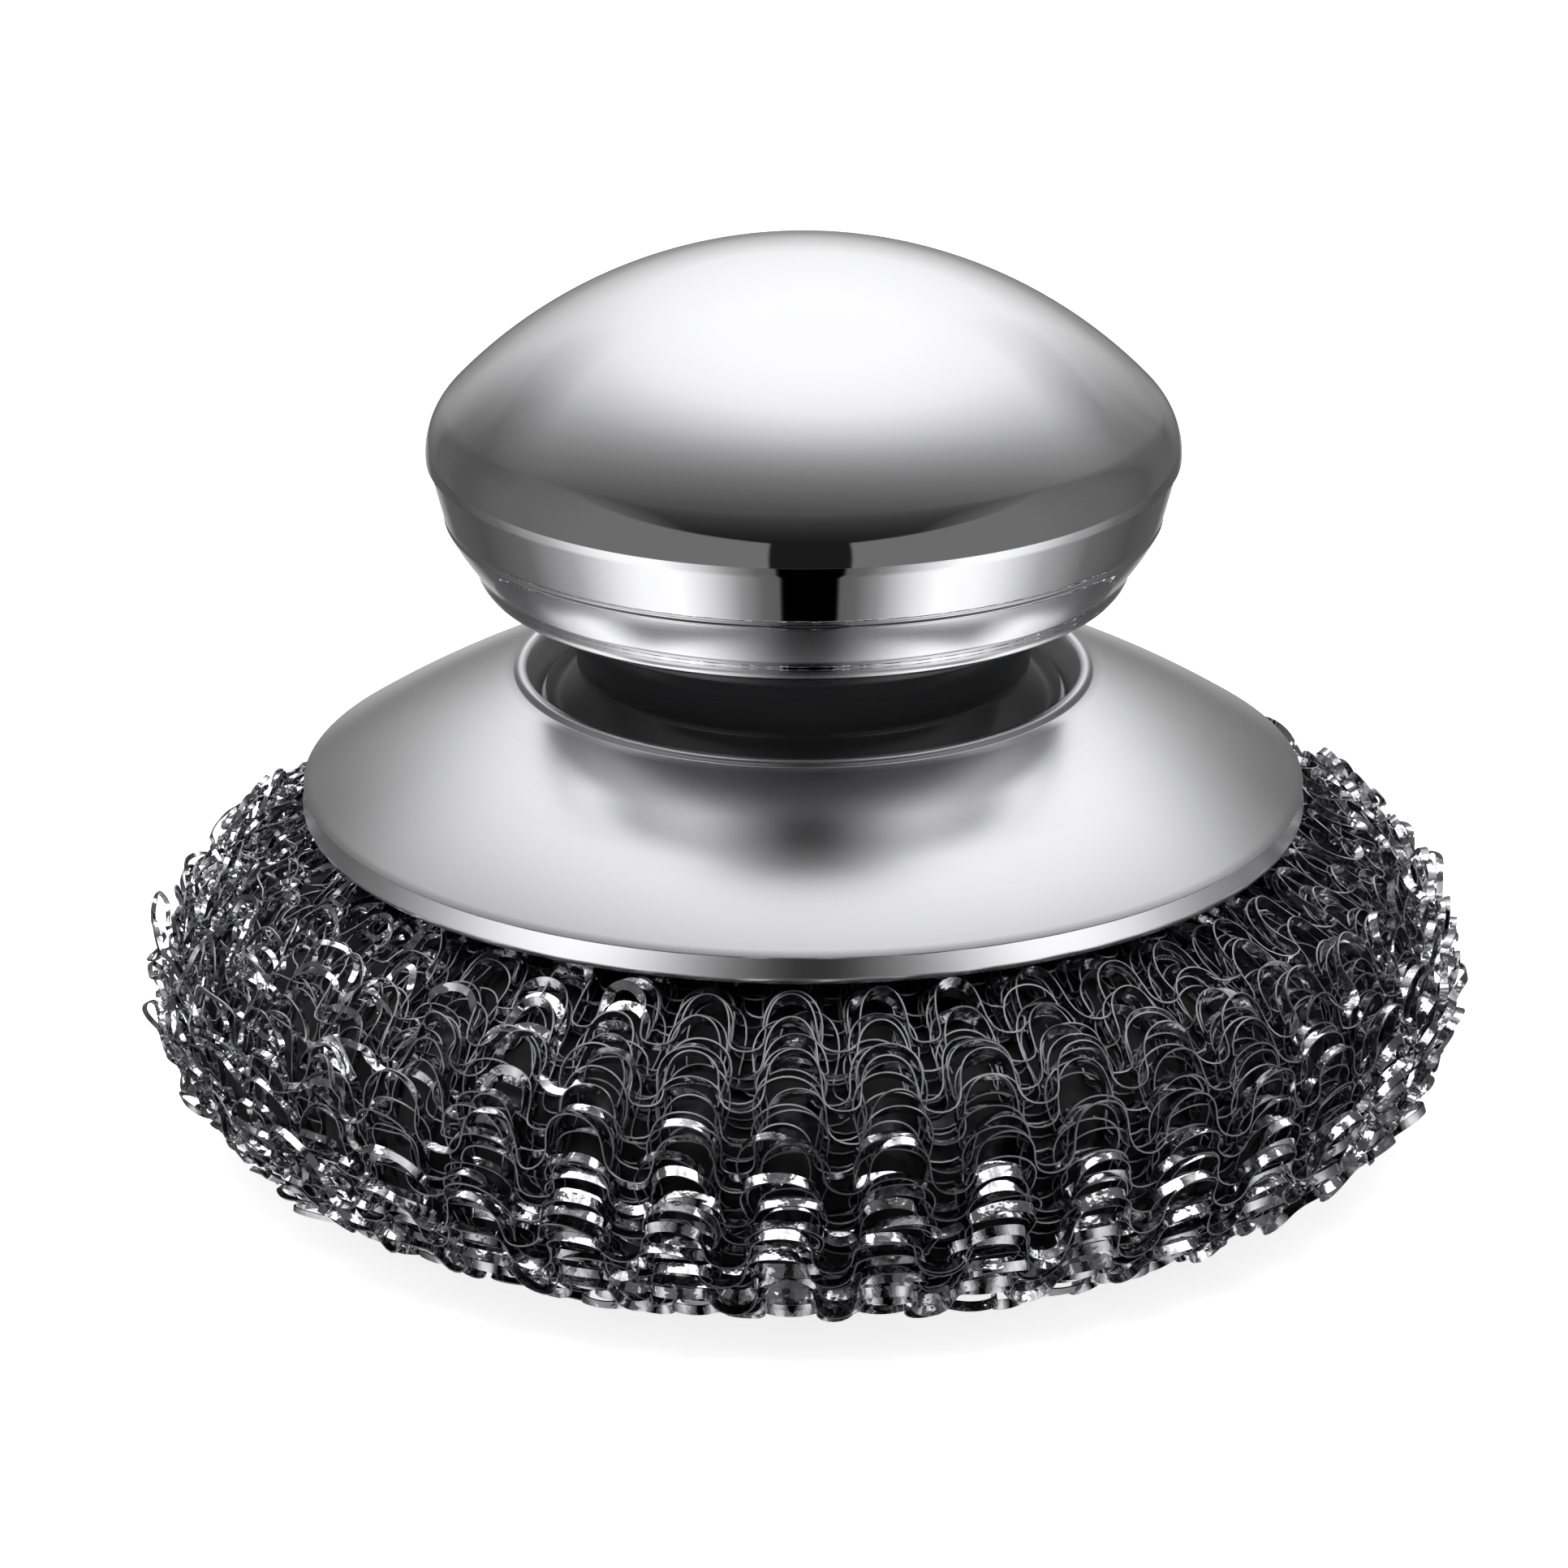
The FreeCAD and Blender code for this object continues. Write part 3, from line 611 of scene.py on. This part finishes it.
well_end = section_run[-1] - WELL_MARGIN
layers = []
for index in range(LAYER_COUNT):
    last = well_end if index < FULL_LAYERS else WALL_END
    first = COURSE * (index * 3 % LAYER_COUNT) / LAYER_COUNT - COURSE
    inset = SKIN_INSET + LAYER_STEP * index + SECOND_INSET * (index > 0)
    form = SKIN_STITCH if index < SKIN_LAYERS else INNER_STITCH
    layers.append(knit(f"knit_layer_{index + 1}", inset, form, first, last, FIRST_SEED + index))

# %% [markdown]
# The knit is wrapped round a filling of packed wire, coloured nearly black as painted shade. It shows as
# darkness between the stitches and in the middle of the pad, so it is one turned piece, pushed into the
# same columns.

# %% Wire filling
FILLING_DEPTH = 4.1
FILLING_STEPS = 480
STUD_HOLE = 3.6
SEAT_GAP = 0.3
COLUMN_DEPTH = 1.1
COLUMNS_FADE_IN = [30, 38]

filling_top = pad_height - SEAT_GAP
well_top = clamp_top + SEAT_GAP
filling_section = pad_section - section_out * FILLING_DEPTH
filling = turned_piece(
    "wire_filling",
    [(STUD_HOLE, filling_top), (CROWN_START, filling_top)]
    + [tuple(point) for point in filling_section[1:]]
    + [(WELL_RADIUS + FILLING_DEPTH, well_top), (STUD_HOLE, well_top)],
    steps=FILLING_STEPS,
)
spots = np.empty(3 * len(filling.data.vertices))
filling.data.vertices.foreach_get("co", spots)
spots = spots.reshape(-1, 3)
reached = np.hypot(spots[:, 0], spots[:, 1]) / MM
column = WALES * np.arctan2(spots[:, 0], -spots[:, 1]) - math.tau * FIRST_COLUMN
push = COLUMN_DEPTH * np.cos(column) * np.interp(reached, COLUMNS_FADE_IN, [0, 1])
spots[:, :2] *= (1 + push / reached)[:, None]
filling.data.vertices.foreach_set("co", spots.ravel())
filling.data.update()

# %% [markdown]
# All of the pad rides on the model's pad, stands in its place and gives with it when the hand presses.

# %% Pad pieces
for piece in (*layers, filling):
    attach(piece, "pad")
    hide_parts("pad")
    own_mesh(piece)

# %% [markdown]
# ## Polished steel
# The knob is pressed from stainless sheet and polished on a wheel while it turns, so its finest scratches
# run round it. A mirror with a trace of those lines in its roughness and bump gives the eye a clean
# reflection that still belongs to a touched, metal thing. The floor of the bowl faces the neck and is left
# satin. The skirt is buffed to a softer shine, its rim a touch softer still, and its dish stays as dull
# as it came from the press.

# %% Turned steel helper
POLISH_LINE = 0.35
SMUDGE = 18.0
POLISH_RANGE = (0.6, 1.4)


def turned_steel(name, code, roughness, spread, line_depth):
    """Steel polished round its axis: the material, its shader, and outputs for radius and height."""
    material, tree = new_material(name)
    where = object_place(tree)
    x, y, z = add_node(tree, "ShaderNodeSeparateXYZ", {0: where}).outputs
    flat = add_node(tree, "ShaderNodeCombineXYZ", {"X": x, "Y": y}).outputs[0]
    radius = add_node(tree, "ShaderNodeVectorMath", {0: flat}, operation="LENGTH").outputs["Value"]
    round_axis = add_node(tree, "ShaderNodeCombineXYZ", {"X": radius, "Z": z}).outputs[0]
    lines = noise(tree, round_axis, POLISH_LINE, 2.0)
    uneven = calc(tree, "ADD", lines, noise(tree, where, SMUDGE, 4.0))
    shader = add_node(
        tree,
        "ShaderNodeBsdfPrincipled",
        {
            "Base Color": colour(code),
            "Metallic": 1.0,
            "Roughness": ranged(tree, uneven, *POLISH_RANGE, roughness - spread, roughness + spread),
            "Normal": bumped(tree, lines, line_depth),
        },
    )
    show(tree, shader.outputs["BSDF"])
    print("made", name)
    return material, shader, radius, z


def refinish(material, shader, place, edge, inside, roughness):
    """Give one zone of a turned piece another roughness, which comes in from its edge to its inside."""
    tree = material.node_tree
    zone = ranged(tree, place, edge * MM, inside * MM)
    old = shader.inputs["Roughness"].links[0].from_socket
    tree.links.new(between(tree, zone, old, roughness), shader.inputs["Roughness"])


# %% Polished knob and buffed skirt
SATIN_FLOOR = 0.35
DULL_DISH = 0.55
RIM_ROUGHNESS = 0.28
# Where each zone begins and where it is full
FLOOR_ZONE = (bowl_bottom + 0.3, bowl_bottom + 0.1)
DISH_ZONE = (LIP_RADIUS - 0.9, LIP_RADIUS - 1.2)
RIM_ZONE = (rim_crease + 0.2, rim_crease - 0.2)

polished, shader, _, height = turned_steel("polished stainless steel", "#DEDEE0", 0.04, 0.015, 0.00006)
refinish(polished, shader, height, *FLOOR_ZONE, SATIN_FLOOR)
buffed, shader, radius, height = turned_steel("buffed stainless steel", "#EAEAEC", 0.25, 0.02, 0.00005)
refinish(buffed, shader, radius, *DISH_ZONE, DULL_DISH)
refinish(buffed, shader, height, *RIM_ZONE, RIM_ROUGHNESS)

# %% [markdown]
# ## Plastics
# The neck is moulded ABS with a gloss finish, black but not quite: it shows a soft grey sheen and the
# faint unevenness of a moulded skin. The parts inside are the same plastic out of a spark-eroded mould,
# which leaves them matt and finely grained.

# %% Moulded plastic
WEAR = 9.0
WEAR_RANGE = (0.35, 0.65)
ABS_INDEX = 1.53


def moulded_plastic(name, code, roughness, spread, grain, depth):
    """Moulded ABS. Its grain is in millimetres, and so is the depth of its grain."""
    material, tree = new_material(name)
    where = object_place(tree)
    skin = noise(tree, where, grain, 3.0)
    wear = noise(tree, where, WEAR, 5.0)
    shader = add_node(
        tree,
        "ShaderNodeBsdfPrincipled",
        {
            "Base Color": colour(code),
            "Roughness": ranged(tree, wear, *WEAR_RANGE, roughness - spread, roughness + spread),
            "IOR": ABS_INDEX,
            "Normal": bumped(tree, skin, depth),
        },
    )
    show(tree, shader.outputs["BSDF"])
    print("made", name)
    return material


gloss_plastic = moulded_plastic("gloss black ABS", "#2A2A2C", 0.17, 0.04, 2.5, 0.004)
matt_plastic = moulded_plastic("matt black ABS", "#262628", 0.55, 0.06, 0.25, 0.02)

# %% [markdown]
# ## Plated steel and brass
# The stud, its disc, the washer, the ring and the screws are plain steel with a bright zinc plating: pale,
# a little blue and silky. The nut is turned brass.

# %% Plated and turned metal
CLOUD_RANGE = (0.3, 0.7)


def plain_metal(name, code, shade_code, roughness, spread, grain):
    """A bare or plated metal whose colour and roughness wander over a grain given in millimetres."""
    material, tree = new_material(name)
    cloud = noise(tree, object_place(tree), grain, 4.0)
    stops = [(0.35, colour(shade_code)), (0.65, colour(code))]
    tint = add_node(tree, "ShaderNodeValToRGB", {0: cloud}, stops=stops)
    shader = add_node(
        tree,
        "ShaderNodeBsdfPrincipled",
        {
            "Base Color": tint.outputs[0],
            "Metallic": 1.0,
            "Roughness": ranged(tree, cloud, *CLOUD_RANGE, roughness + spread, roughness - spread),
        },
    )
    show(tree, shader.outputs["BSDF"])
    print("made", name)
    return material


zinc = plain_metal("zinc plated steel", "#C3C6C9", "#A4A8AC", 0.3, 0.08, 1.2)
brass = plain_metal("turned brass", "#D2AC66", "#B78F4C", 0.24, 0.06, 0.8)

# %% [markdown]
# ## Ribbon
# The pad is knitted from stainless wire that was rolled flat, so its faces are bright and its edges are
# dull. It is never quite even: the rolls leave bands along it, and the needles crinkle it. Under the
# knit lies more of the same, packed, and its colour is painted shade: nearly black, with greyer strands.

# %% Flat ribbon
EDGE_ROUGHNESS = 0.5
CRINKLE = 0.9
CRINKLE_DEPTH = 0.08

ribbon = plain_metal("rolled stainless ribbon", "#C4C4C7", "#949497", 0.13, 0.05, 1.6)
tree = ribbon.node_tree
shader = tree.nodes["Principled BSDF"]
face_tint = shader.inputs["Base Color"].links[0].from_socket
face_rough = shader.inputs["Roughness"].links[0].from_socket
edge = add_node(tree, "ShaderNodeAttribute", attribute_name=EDGE_MARK).outputs["Fac"]
tints = {"Fac": edge, "Color1": face_tint, "Color2": colour("#76767A")}
tint = add_node(tree, "ShaderNodeMixRGB", tints).outputs[0]
crinkle = noise(tree, object_place(tree), CRINKLE, 2.0)
tree.links.new(tint, shader.inputs["Base Color"])
tree.links.new(between(tree, edge, face_rough, EDGE_ROUGHNESS), shader.inputs["Roughness"])
tree.links.new(bumped(tree, crinkle, CRINKLE_DEPTH), shader.inputs["Normal"])

# %% Packed filling, painted shade
STRAND_GAP = 1.1
WAVE_CELLS = NOISE_CELLS / 20
STRAND_RANGE = (0.75, 0.95)

painted_shade_filling, tree = new_material("packed wire, painted shade")
strands = add_node(
    tree,
    "ShaderNodeTexWave",
    {"Vector": object_place(tree), "Scale": WAVE_CELLS / STRAND_GAP, "Distortion": 9.0, "Detail": 3.0},
    bands_direction="Z",
)
strand = ranged(tree, strands.outputs["Fac"], *STRAND_RANGE)
# The steel of the filling is painted nearly black as shade; its strands are a little lighter grey.
stops = [(0.0, colour("#040405")), (1.0, colour("#2A2A2C"))]
tint = add_node(tree, "ShaderNodeValToRGB", {0: strand}, stops=stops)
rough = ranged(tree, strand, 0.0, 1.0, 0.9, 0.35)
inputs = {"Base Color": tint.outputs[0], "Metallic": strand, "Roughness": rough}
show(tree, add_node(tree, "ShaderNodeBsdfPrincipled", inputs).outputs["BSDF"])
print("made", painted_shade_filling.name)

# %% [markdown]
# ## Dressing
# Each new piece gets its material. The pieces inside keep the model's shape
# and only change their material.

# %% Dress the pieces
dress(dome, polished)
dress(bowl, polished)
dress(skirt, buffed)
dress(collar, gloss_plastic)
for layer in layers:
    dress(layer, ribbon)
dress(filling, painted_shade_filling)
inner_finish = {
    zinc: ("stud", "clamp_disc", "thrust_washer", "snap_ring", "bowl_screws"),
    matt_plastic: ("backing_plate", "knob_core"),
    brass: ("insert_nut",),
}
for material, names in inner_finish.items():
    for name in names:
        nodes[name].data.materials.clear()
        nodes[name].data.materials.append(material)
print("dressed", len(layers) + 5, "new pieces and", sum(map(len, inner_finish.values())), "model nodes")

# %% [markdown]
# ## Floor and background
# The scrubber stands on white paper. The paper takes its shadow, and it glows a little for the camera
# alone, so that it runs into the white background. From below it is clear.

# %% Floor
FLOOR_SIZE = 6000.0
FLOOR_GLOW = 0.8

bpy.ops.object.select_all(action="DESELECT")
bpy.ops.mesh.primitive_plane_add(size=FLOOR_SIZE * MM)
floor = bpy.context.object
floor.name = "floor"
floor.visible_glossy = False
paper, tree = new_material("white paper")
to_camera = add_node(tree, "ShaderNodeLightPath").outputs["Is Camera Ray"]
diffuse = add_node(tree, "ShaderNodeBsdfDiffuse", {"Color": colour("#F4F4F4")}).outputs[0]
glow = add_node(tree, "ShaderNodeEmission", {"Color": colour("#FFFFFF"), "Strength": FLOOR_GLOW}).outputs[0]
bright = add_node(tree, "ShaderNodeAddShader", {0: diffuse, 1: glow}).outputs[0]
above = add_node(tree, "ShaderNodeMixShader", {"Fac": to_camera, 1: diffuse, 2: bright}).outputs[0]
from_below = add_node(tree, "ShaderNodeNewGeometry").outputs["Backfacing"]
nothing = add_node(tree, "ShaderNodeBsdfTransparent").outputs[0]
show(tree, add_node(tree, "ShaderNodeMixShader", {"Fac": from_below, 1: above, 2: nothing}).outputs[0])
floor.data.materials.append(paper)
print("made", floor.name)

# %% World
AMBIENT = 0.45

world = bpy.data.worlds.new("studio")
bpy.context.scene.world = world
world.use_nodes = True
tree = world.node_tree
tree.nodes.clear()
rays = add_node(tree, "ShaderNodeLightPath").outputs
seen = calc(tree, "MAXIMUM", rays["Is Camera Ray"], rays["Is Glossy Ray"])
seen = calc(tree, "MAXIMUM", seen, rays["Is Transmission Ray"])
dim = add_node(tree, "ShaderNodeBackground", {"Color": colour("#FFFFFF"), "Strength": AMBIENT}).outputs[0]
white = add_node(tree, "ShaderNodeBackground", {"Color": colour("#FFFFFF"), "Strength": 1.0}).outputs[0]
sky = add_node(tree, "ShaderNodeMixShader", {"Fac": seen, 1: dim, 2: white}).outputs[0]
add_node(tree, "ShaderNodeOutputWorld", {"Surface": sky})
print("made", world.name)

# %% [markdown]
# ## Light tent
# Polished steel shows what stands round it, so the surroundings make its look. A tent that only
# reflections see has a bright roof behind the knob, which fades towards its edge, and grey wings at the
# camera's sides. The back corners are a little darker. A second reflection, as that of the skirt in the
# bowl, would be lost in the dark of the tent, so it sees a bright fill of its own instead.

# %% Light tent helpers
STUDIO_STRENGTH = 1.38
SLOT_TURN = math.radians(2.0)
SECOND_BOUNCE = 1.5
HALF_TURN = 180.0


def grey(level):
    """A grey of a linear brightness."""
    return (level, level, level, 1.0)


def hide_from_all_but_gloss(stage_piece):
    """Let only reflections see a piece of the stage."""
    stage_piece.visible_camera = False
    stage_piece.visible_diffuse = False
    stage_piece.visible_shadow = False
    stage_piece.visible_transmission = False


def bearing_outputs(tree, vector):
    """A vector's X and Z, its angle from the camera's side in degrees, and if a second reflection asks."""
    x, y, z = add_node(tree, "ShaderNodeSeparateXYZ", {0: vector}).outputs
    turn = calc(tree, "ARCTAN2", x, calc(tree, "MULTIPLY", y, -1.0))
    turn = calc(tree, "ABSOLUTE", calc(tree, "SUBTRACT", turn, SLOT_TURN))
    bounces = add_node(tree, "ShaderNodeLightPath").outputs["Glossy Depth"]
    return x, z, calc(tree, "DEGREES", turn), calc(tree, "GREATER_THAN", bounces, SECOND_BOUNCE)


def from_table(tree, value, table, reach):
    """A brightness read from a table of places and levels. No place lies past the reach."""
    share = calc(tree, "DIVIDE", value, reach)
    stops = [(place / reach, grey(level)) for place, level in table]
    return add_node(tree, "ShaderNodeValToRGB", {0: share}, stops=stops).outputs[0]


def product(tree, first, *others):
    """Several outputs multiplied, as an output."""
    for other in others:
        first = calc(tree, "MULTIPLY", first, other)
    return first


def glowing(tree, level):
    """A shader's output that glows at a level of the studio's light."""
    shine = calc(tree, "MULTIPLY", level, STUDIO_STRENGTH)
    return add_node(tree, "ShaderNodeEmission", {"Color": grey(1.0), "Strength": shine}).outputs[0]


# %% Light tent
TENT_RADIUS = 900.0
ROOF_CENTRE = (0.03, 0.5, 0.0)
ROOF_REACH = 1.5
# Brightness of the roof by the distance from its middle, on the plan of a dome of radius 1
ROOF = [
    (0.2, 0.97), (0.27, 0.945), (0.33, 0.915), (0.39, 0.88), (0.45, 0.81), (0.51, 0.67),
    (0.57, 0.52), (0.63, 0.36), (0.69, 0.245), (0.75, 0.165), (0.81, 0.115), (0.87, 0.075),
    (0.95, 0.055), (1.05, 0.04), (1.2, 0.026), (1.4, 0.01),
]
# Brightness of what a second reflection sees, by the angle from the camera's side in degrees
SECOND_FILL = [
    (9, 0.0), (14, 0.05), (22, 0.15), (30, 0.3), (40, 0.55), (52, 0.85),
    (65, 0.98), (88, 0.95), (100, 0.7), (120, 0.5), (150, 0.4),
]
SECOND_GAIN = 1.6
SECOND_TOP = (60.0, 56.0)
WALL_SHADE = 0.12
CORNER_SHADE = 0.48
WING_SHADE = 0.145
WING_RISE = 21.5
WING_SLOPE = 0.25
GROUND_SHADE = 0.35
# Where each shade begins and where it is full, in degrees of turn or of rise. The walls go by X.
WALLS = (0.45, 0.75)
CORNER_START = (100.0, 130.0)
CORNER_END = (156.0, 136.0)
CORNER_TOP = (43.0, 28.0)
WING_START = (11.5, 12.5)
WING_END = (95.0, 70.0)
WING_EDGE = (-1.0, 1.0)
GROUND = (-20.0, -26.0)

bpy.ops.object.select_all(action="DESELECT")
bpy.ops.mesh.primitive_uv_sphere_add(segments=48, ring_count=24, radius=TENT_RADIUS * MM)
tent = bpy.context.object
tent.name = "light_tent"
hide_from_all_but_gloss(tent)
cloth, tree = new_material("tent cloth")
way = add_node(tree, "ShaderNodeVectorMath", {0: object_place(tree)}, operation="NORMALIZE").outputs[0]
x, z, turn, second = bearing_outputs(tree, way)
rise = calc(tree, "DEGREES", calc(tree, "ARCSINE", z))
plan = add_node(tree, "ShaderNodeVectorMath", {0: way, 1: (1.0, 1.0, 0.0)}, operation="MULTIPLY")
away = add_node(tree, "ShaderNodeVectorMath", {0: plan.outputs[0], 1: ROOF_CENTRE}, operation="DISTANCE")
roof = from_table(tree, away.outputs["Value"], ROOF, ROOF_REACH)
walls = ranged(tree, calc(tree, "ABSOLUTE", x), *WALLS, 0.0, WALL_SHADE)
level = calc(tree, "MAXIMUM", roof, walls)
low_sky = ranged(tree, rise, *SECOND_TOP, 0.0, SECOND_GAIN)
fill = product(tree, low_sky, from_table(tree, turn, SECOND_FILL, HALF_TURN), second)
level = calc(tree, "MAXIMUM", level, fill)
corner_start = ranged(tree, turn, *CORNER_START)
corner_end = ranged(tree, turn, *CORNER_END)
corner_top = ranged(tree, rise, *CORNER_TOP, 0.0, CORNER_SHADE)
corner = product(tree, corner_start, corner_end, corner_top)
level = calc(tree, "MULTIPLY", level, calc(tree, "SUBTRACT", 1.0, corner))
wing_top = calc(tree, "MULTIPLY_ADD", turn, WING_SLOPE, WING_RISE)
wing_edge = ranged(tree, calc(tree, "SUBTRACT", wing_top, rise), *WING_EDGE)
wing = product(tree, wing_edge, ranged(tree, turn, *WING_START), ranged(tree, turn, *WING_END))
level = between(tree, wing, level, WING_SHADE)
level = between(tree, ranged(tree, rise, *GROUND), level, GROUND_SHADE)
show(tree, glowing(tree, level))
cloth.cycles.emission_sampling = "NONE"
tent.data.materials.append(cloth)
print("made", tent.name)

# %% [markdown]
# ## Ring of cards
# The bands of the bowl look down at what stands close by. A ring of cards gives them a black slot at the
# camera with a bright field on each side. Higher up it is clear in front, and behind it shades the dome's
# edge and fades out towards its top. Reflections alone see it, too.

# %% Ring of cards
RING_RADIUS = 130.0
RING_BOTTOM = -160.0
RING_TOP = 110.0
FADE_START = 62.0
LOW_TOP = 24.0
LOW_TOP_SECOND = 62.0
SIDE_LEVEL = 0.1
BACK_START = 30.0
BACK_LEVELS = (0.11, 0.55)
BEHIND = (135.0, 150.0)
FRONT_GAP = (125.0, 110.0)
CARD_EDGE = 1.0
# Brightness of the low cards by the angle from the camera's side in degrees
LOW_CARDS = [
    (0, 0.0), (9, 0.0), (9.8, 0.1), (15, 0.12), (22, 0.26), (33, 0.7), (42, 1.0), (55, 0.95), (63, 0.8),
    (79, 0.36), (98, 0.13), (120, 0.07), (146, 0.09), (165, 0.45), (180, 0.5),
]

bpy.ops.object.select_all(action="DESELECT")
bpy.ops.mesh.primitive_cylinder_add(
    vertices=96,
    radius=RING_RADIUS * MM,
    depth=(RING_TOP - RING_BOTTOM) * MM,
    end_fill_type="NOTHING",
    location=(0, 0, (RING_TOP + RING_BOTTOM) / 2 * MM),
)
bpy.ops.object.transform_apply(location=True)
ring = bpy.context.object
ring.name = "card_ring"
hide_from_all_but_gloss(ring)
card, tree = new_material("card")
_, z, turn, second = bearing_outputs(tree, object_place(tree))
low = from_table(tree, turn, LOW_CARDS, HALF_TURN)
back = ranged(tree, z, BACK_START * MM, RING_TOP * MM, *BACK_LEVELS)
high = between(tree, ranged(tree, turn, *BEHIND), SIDE_LEVEL, back)
low_top = calc(tree, "MULTIPLY_ADD", second, (LOW_TOP_SECOND - LOW_TOP) * MM, LOW_TOP * MM)
is_high = ranged(tree, calc(tree, "SUBTRACT", z, low_top), -CARD_EDGE * MM, CARD_EDGE * MM)
level = between(tree, is_high, low, high)
front_gap = ranged(tree, turn, *FRONT_GAP)
fade = ranged(tree, z, FADE_START * MM, RING_TOP * MM)
clear = calc(tree, "MULTIPLY", is_high, calc(tree, "MAXIMUM", fade, front_gap))
nothing = add_node(tree, "ShaderNodeBsdfTransparent").outputs[0]
seen = {"Fac": clear, 1: glowing(tree, level), 2: nothing}
show(tree, add_node(tree, "ShaderNodeMixShader", seen).outputs[0])
card.cycles.emission_sampling = "NONE"
ring.data.materials.append(card)
print("made", ring.name)

# %% [markdown]
# ## Lamps
# One wide lamp above lights the plastic and the paper and gives the soft shadow. Eight more light the pad
# alone, because a ribbon sparkles only where it meets a light that is brighter than a tent.

# %% Lamp above
TOP_LAMP_PLACE = (0.0, -100.0, 900.0)
TOP_LAMP_SIZE = 900.0
TOP_LAMP_POWER = 9.0

bpy.ops.object.select_all(action="DESELECT")
bpy.ops.object.light_add(type="AREA", location=Vector(TOP_LAMP_PLACE) * MM)
lamp = bpy.context.object
lamp.data.size = TOP_LAMP_SIZE * MM
lamp.data.energy = TOP_LAMP_POWER
lamp.visible_glossy = False

# %% Lamps for the pad
LAMP_DISTANCE = 800.0
LAMP_SIZE = 420.0
# Angle from the camera's side and angle of rise in degrees, and radiance
PAD_LAMPS = [
    (-78, 46, 3.0), (-47, 46, 2.8), (-16, 50, 1.9), (16, 50, 1.9), (47, 46, 2.8), (78, 46, 3.0),
    (-150, 50, 4.0), (150, 50, 4.0),
]

pad_pieces = bpy.data.collections.new("pad_pieces")
for piece in (*layers, filling):
    pad_pieces.objects.link(piece)
for turn_angle, rise_angle, radiance in PAD_LAMPS:
    turn_angle = math.radians(turn_angle)
    rise_angle = math.radians(rise_angle)
    flat = math.cos(rise_angle)
    way = Vector((flat * math.sin(turn_angle), -flat * math.cos(turn_angle), math.sin(rise_angle)))
    facing = way.to_track_quat("Z", "Y").to_euler()
    bpy.ops.object.select_all(action="DESELECT")
    bpy.ops.object.light_add(type="AREA", location=way * LAMP_DISTANCE * MM, rotation=facing)
    lamp = bpy.context.object
    lamp.data.size = LAMP_SIZE * MM
    lamp.data.energy = radiance * math.pi * (LAMP_SIZE * MM) ** 2
    lamp.light_linking.receiver_collection = pad_pieces
print("made", len(PAD_LAMPS) + 1, "lamps")
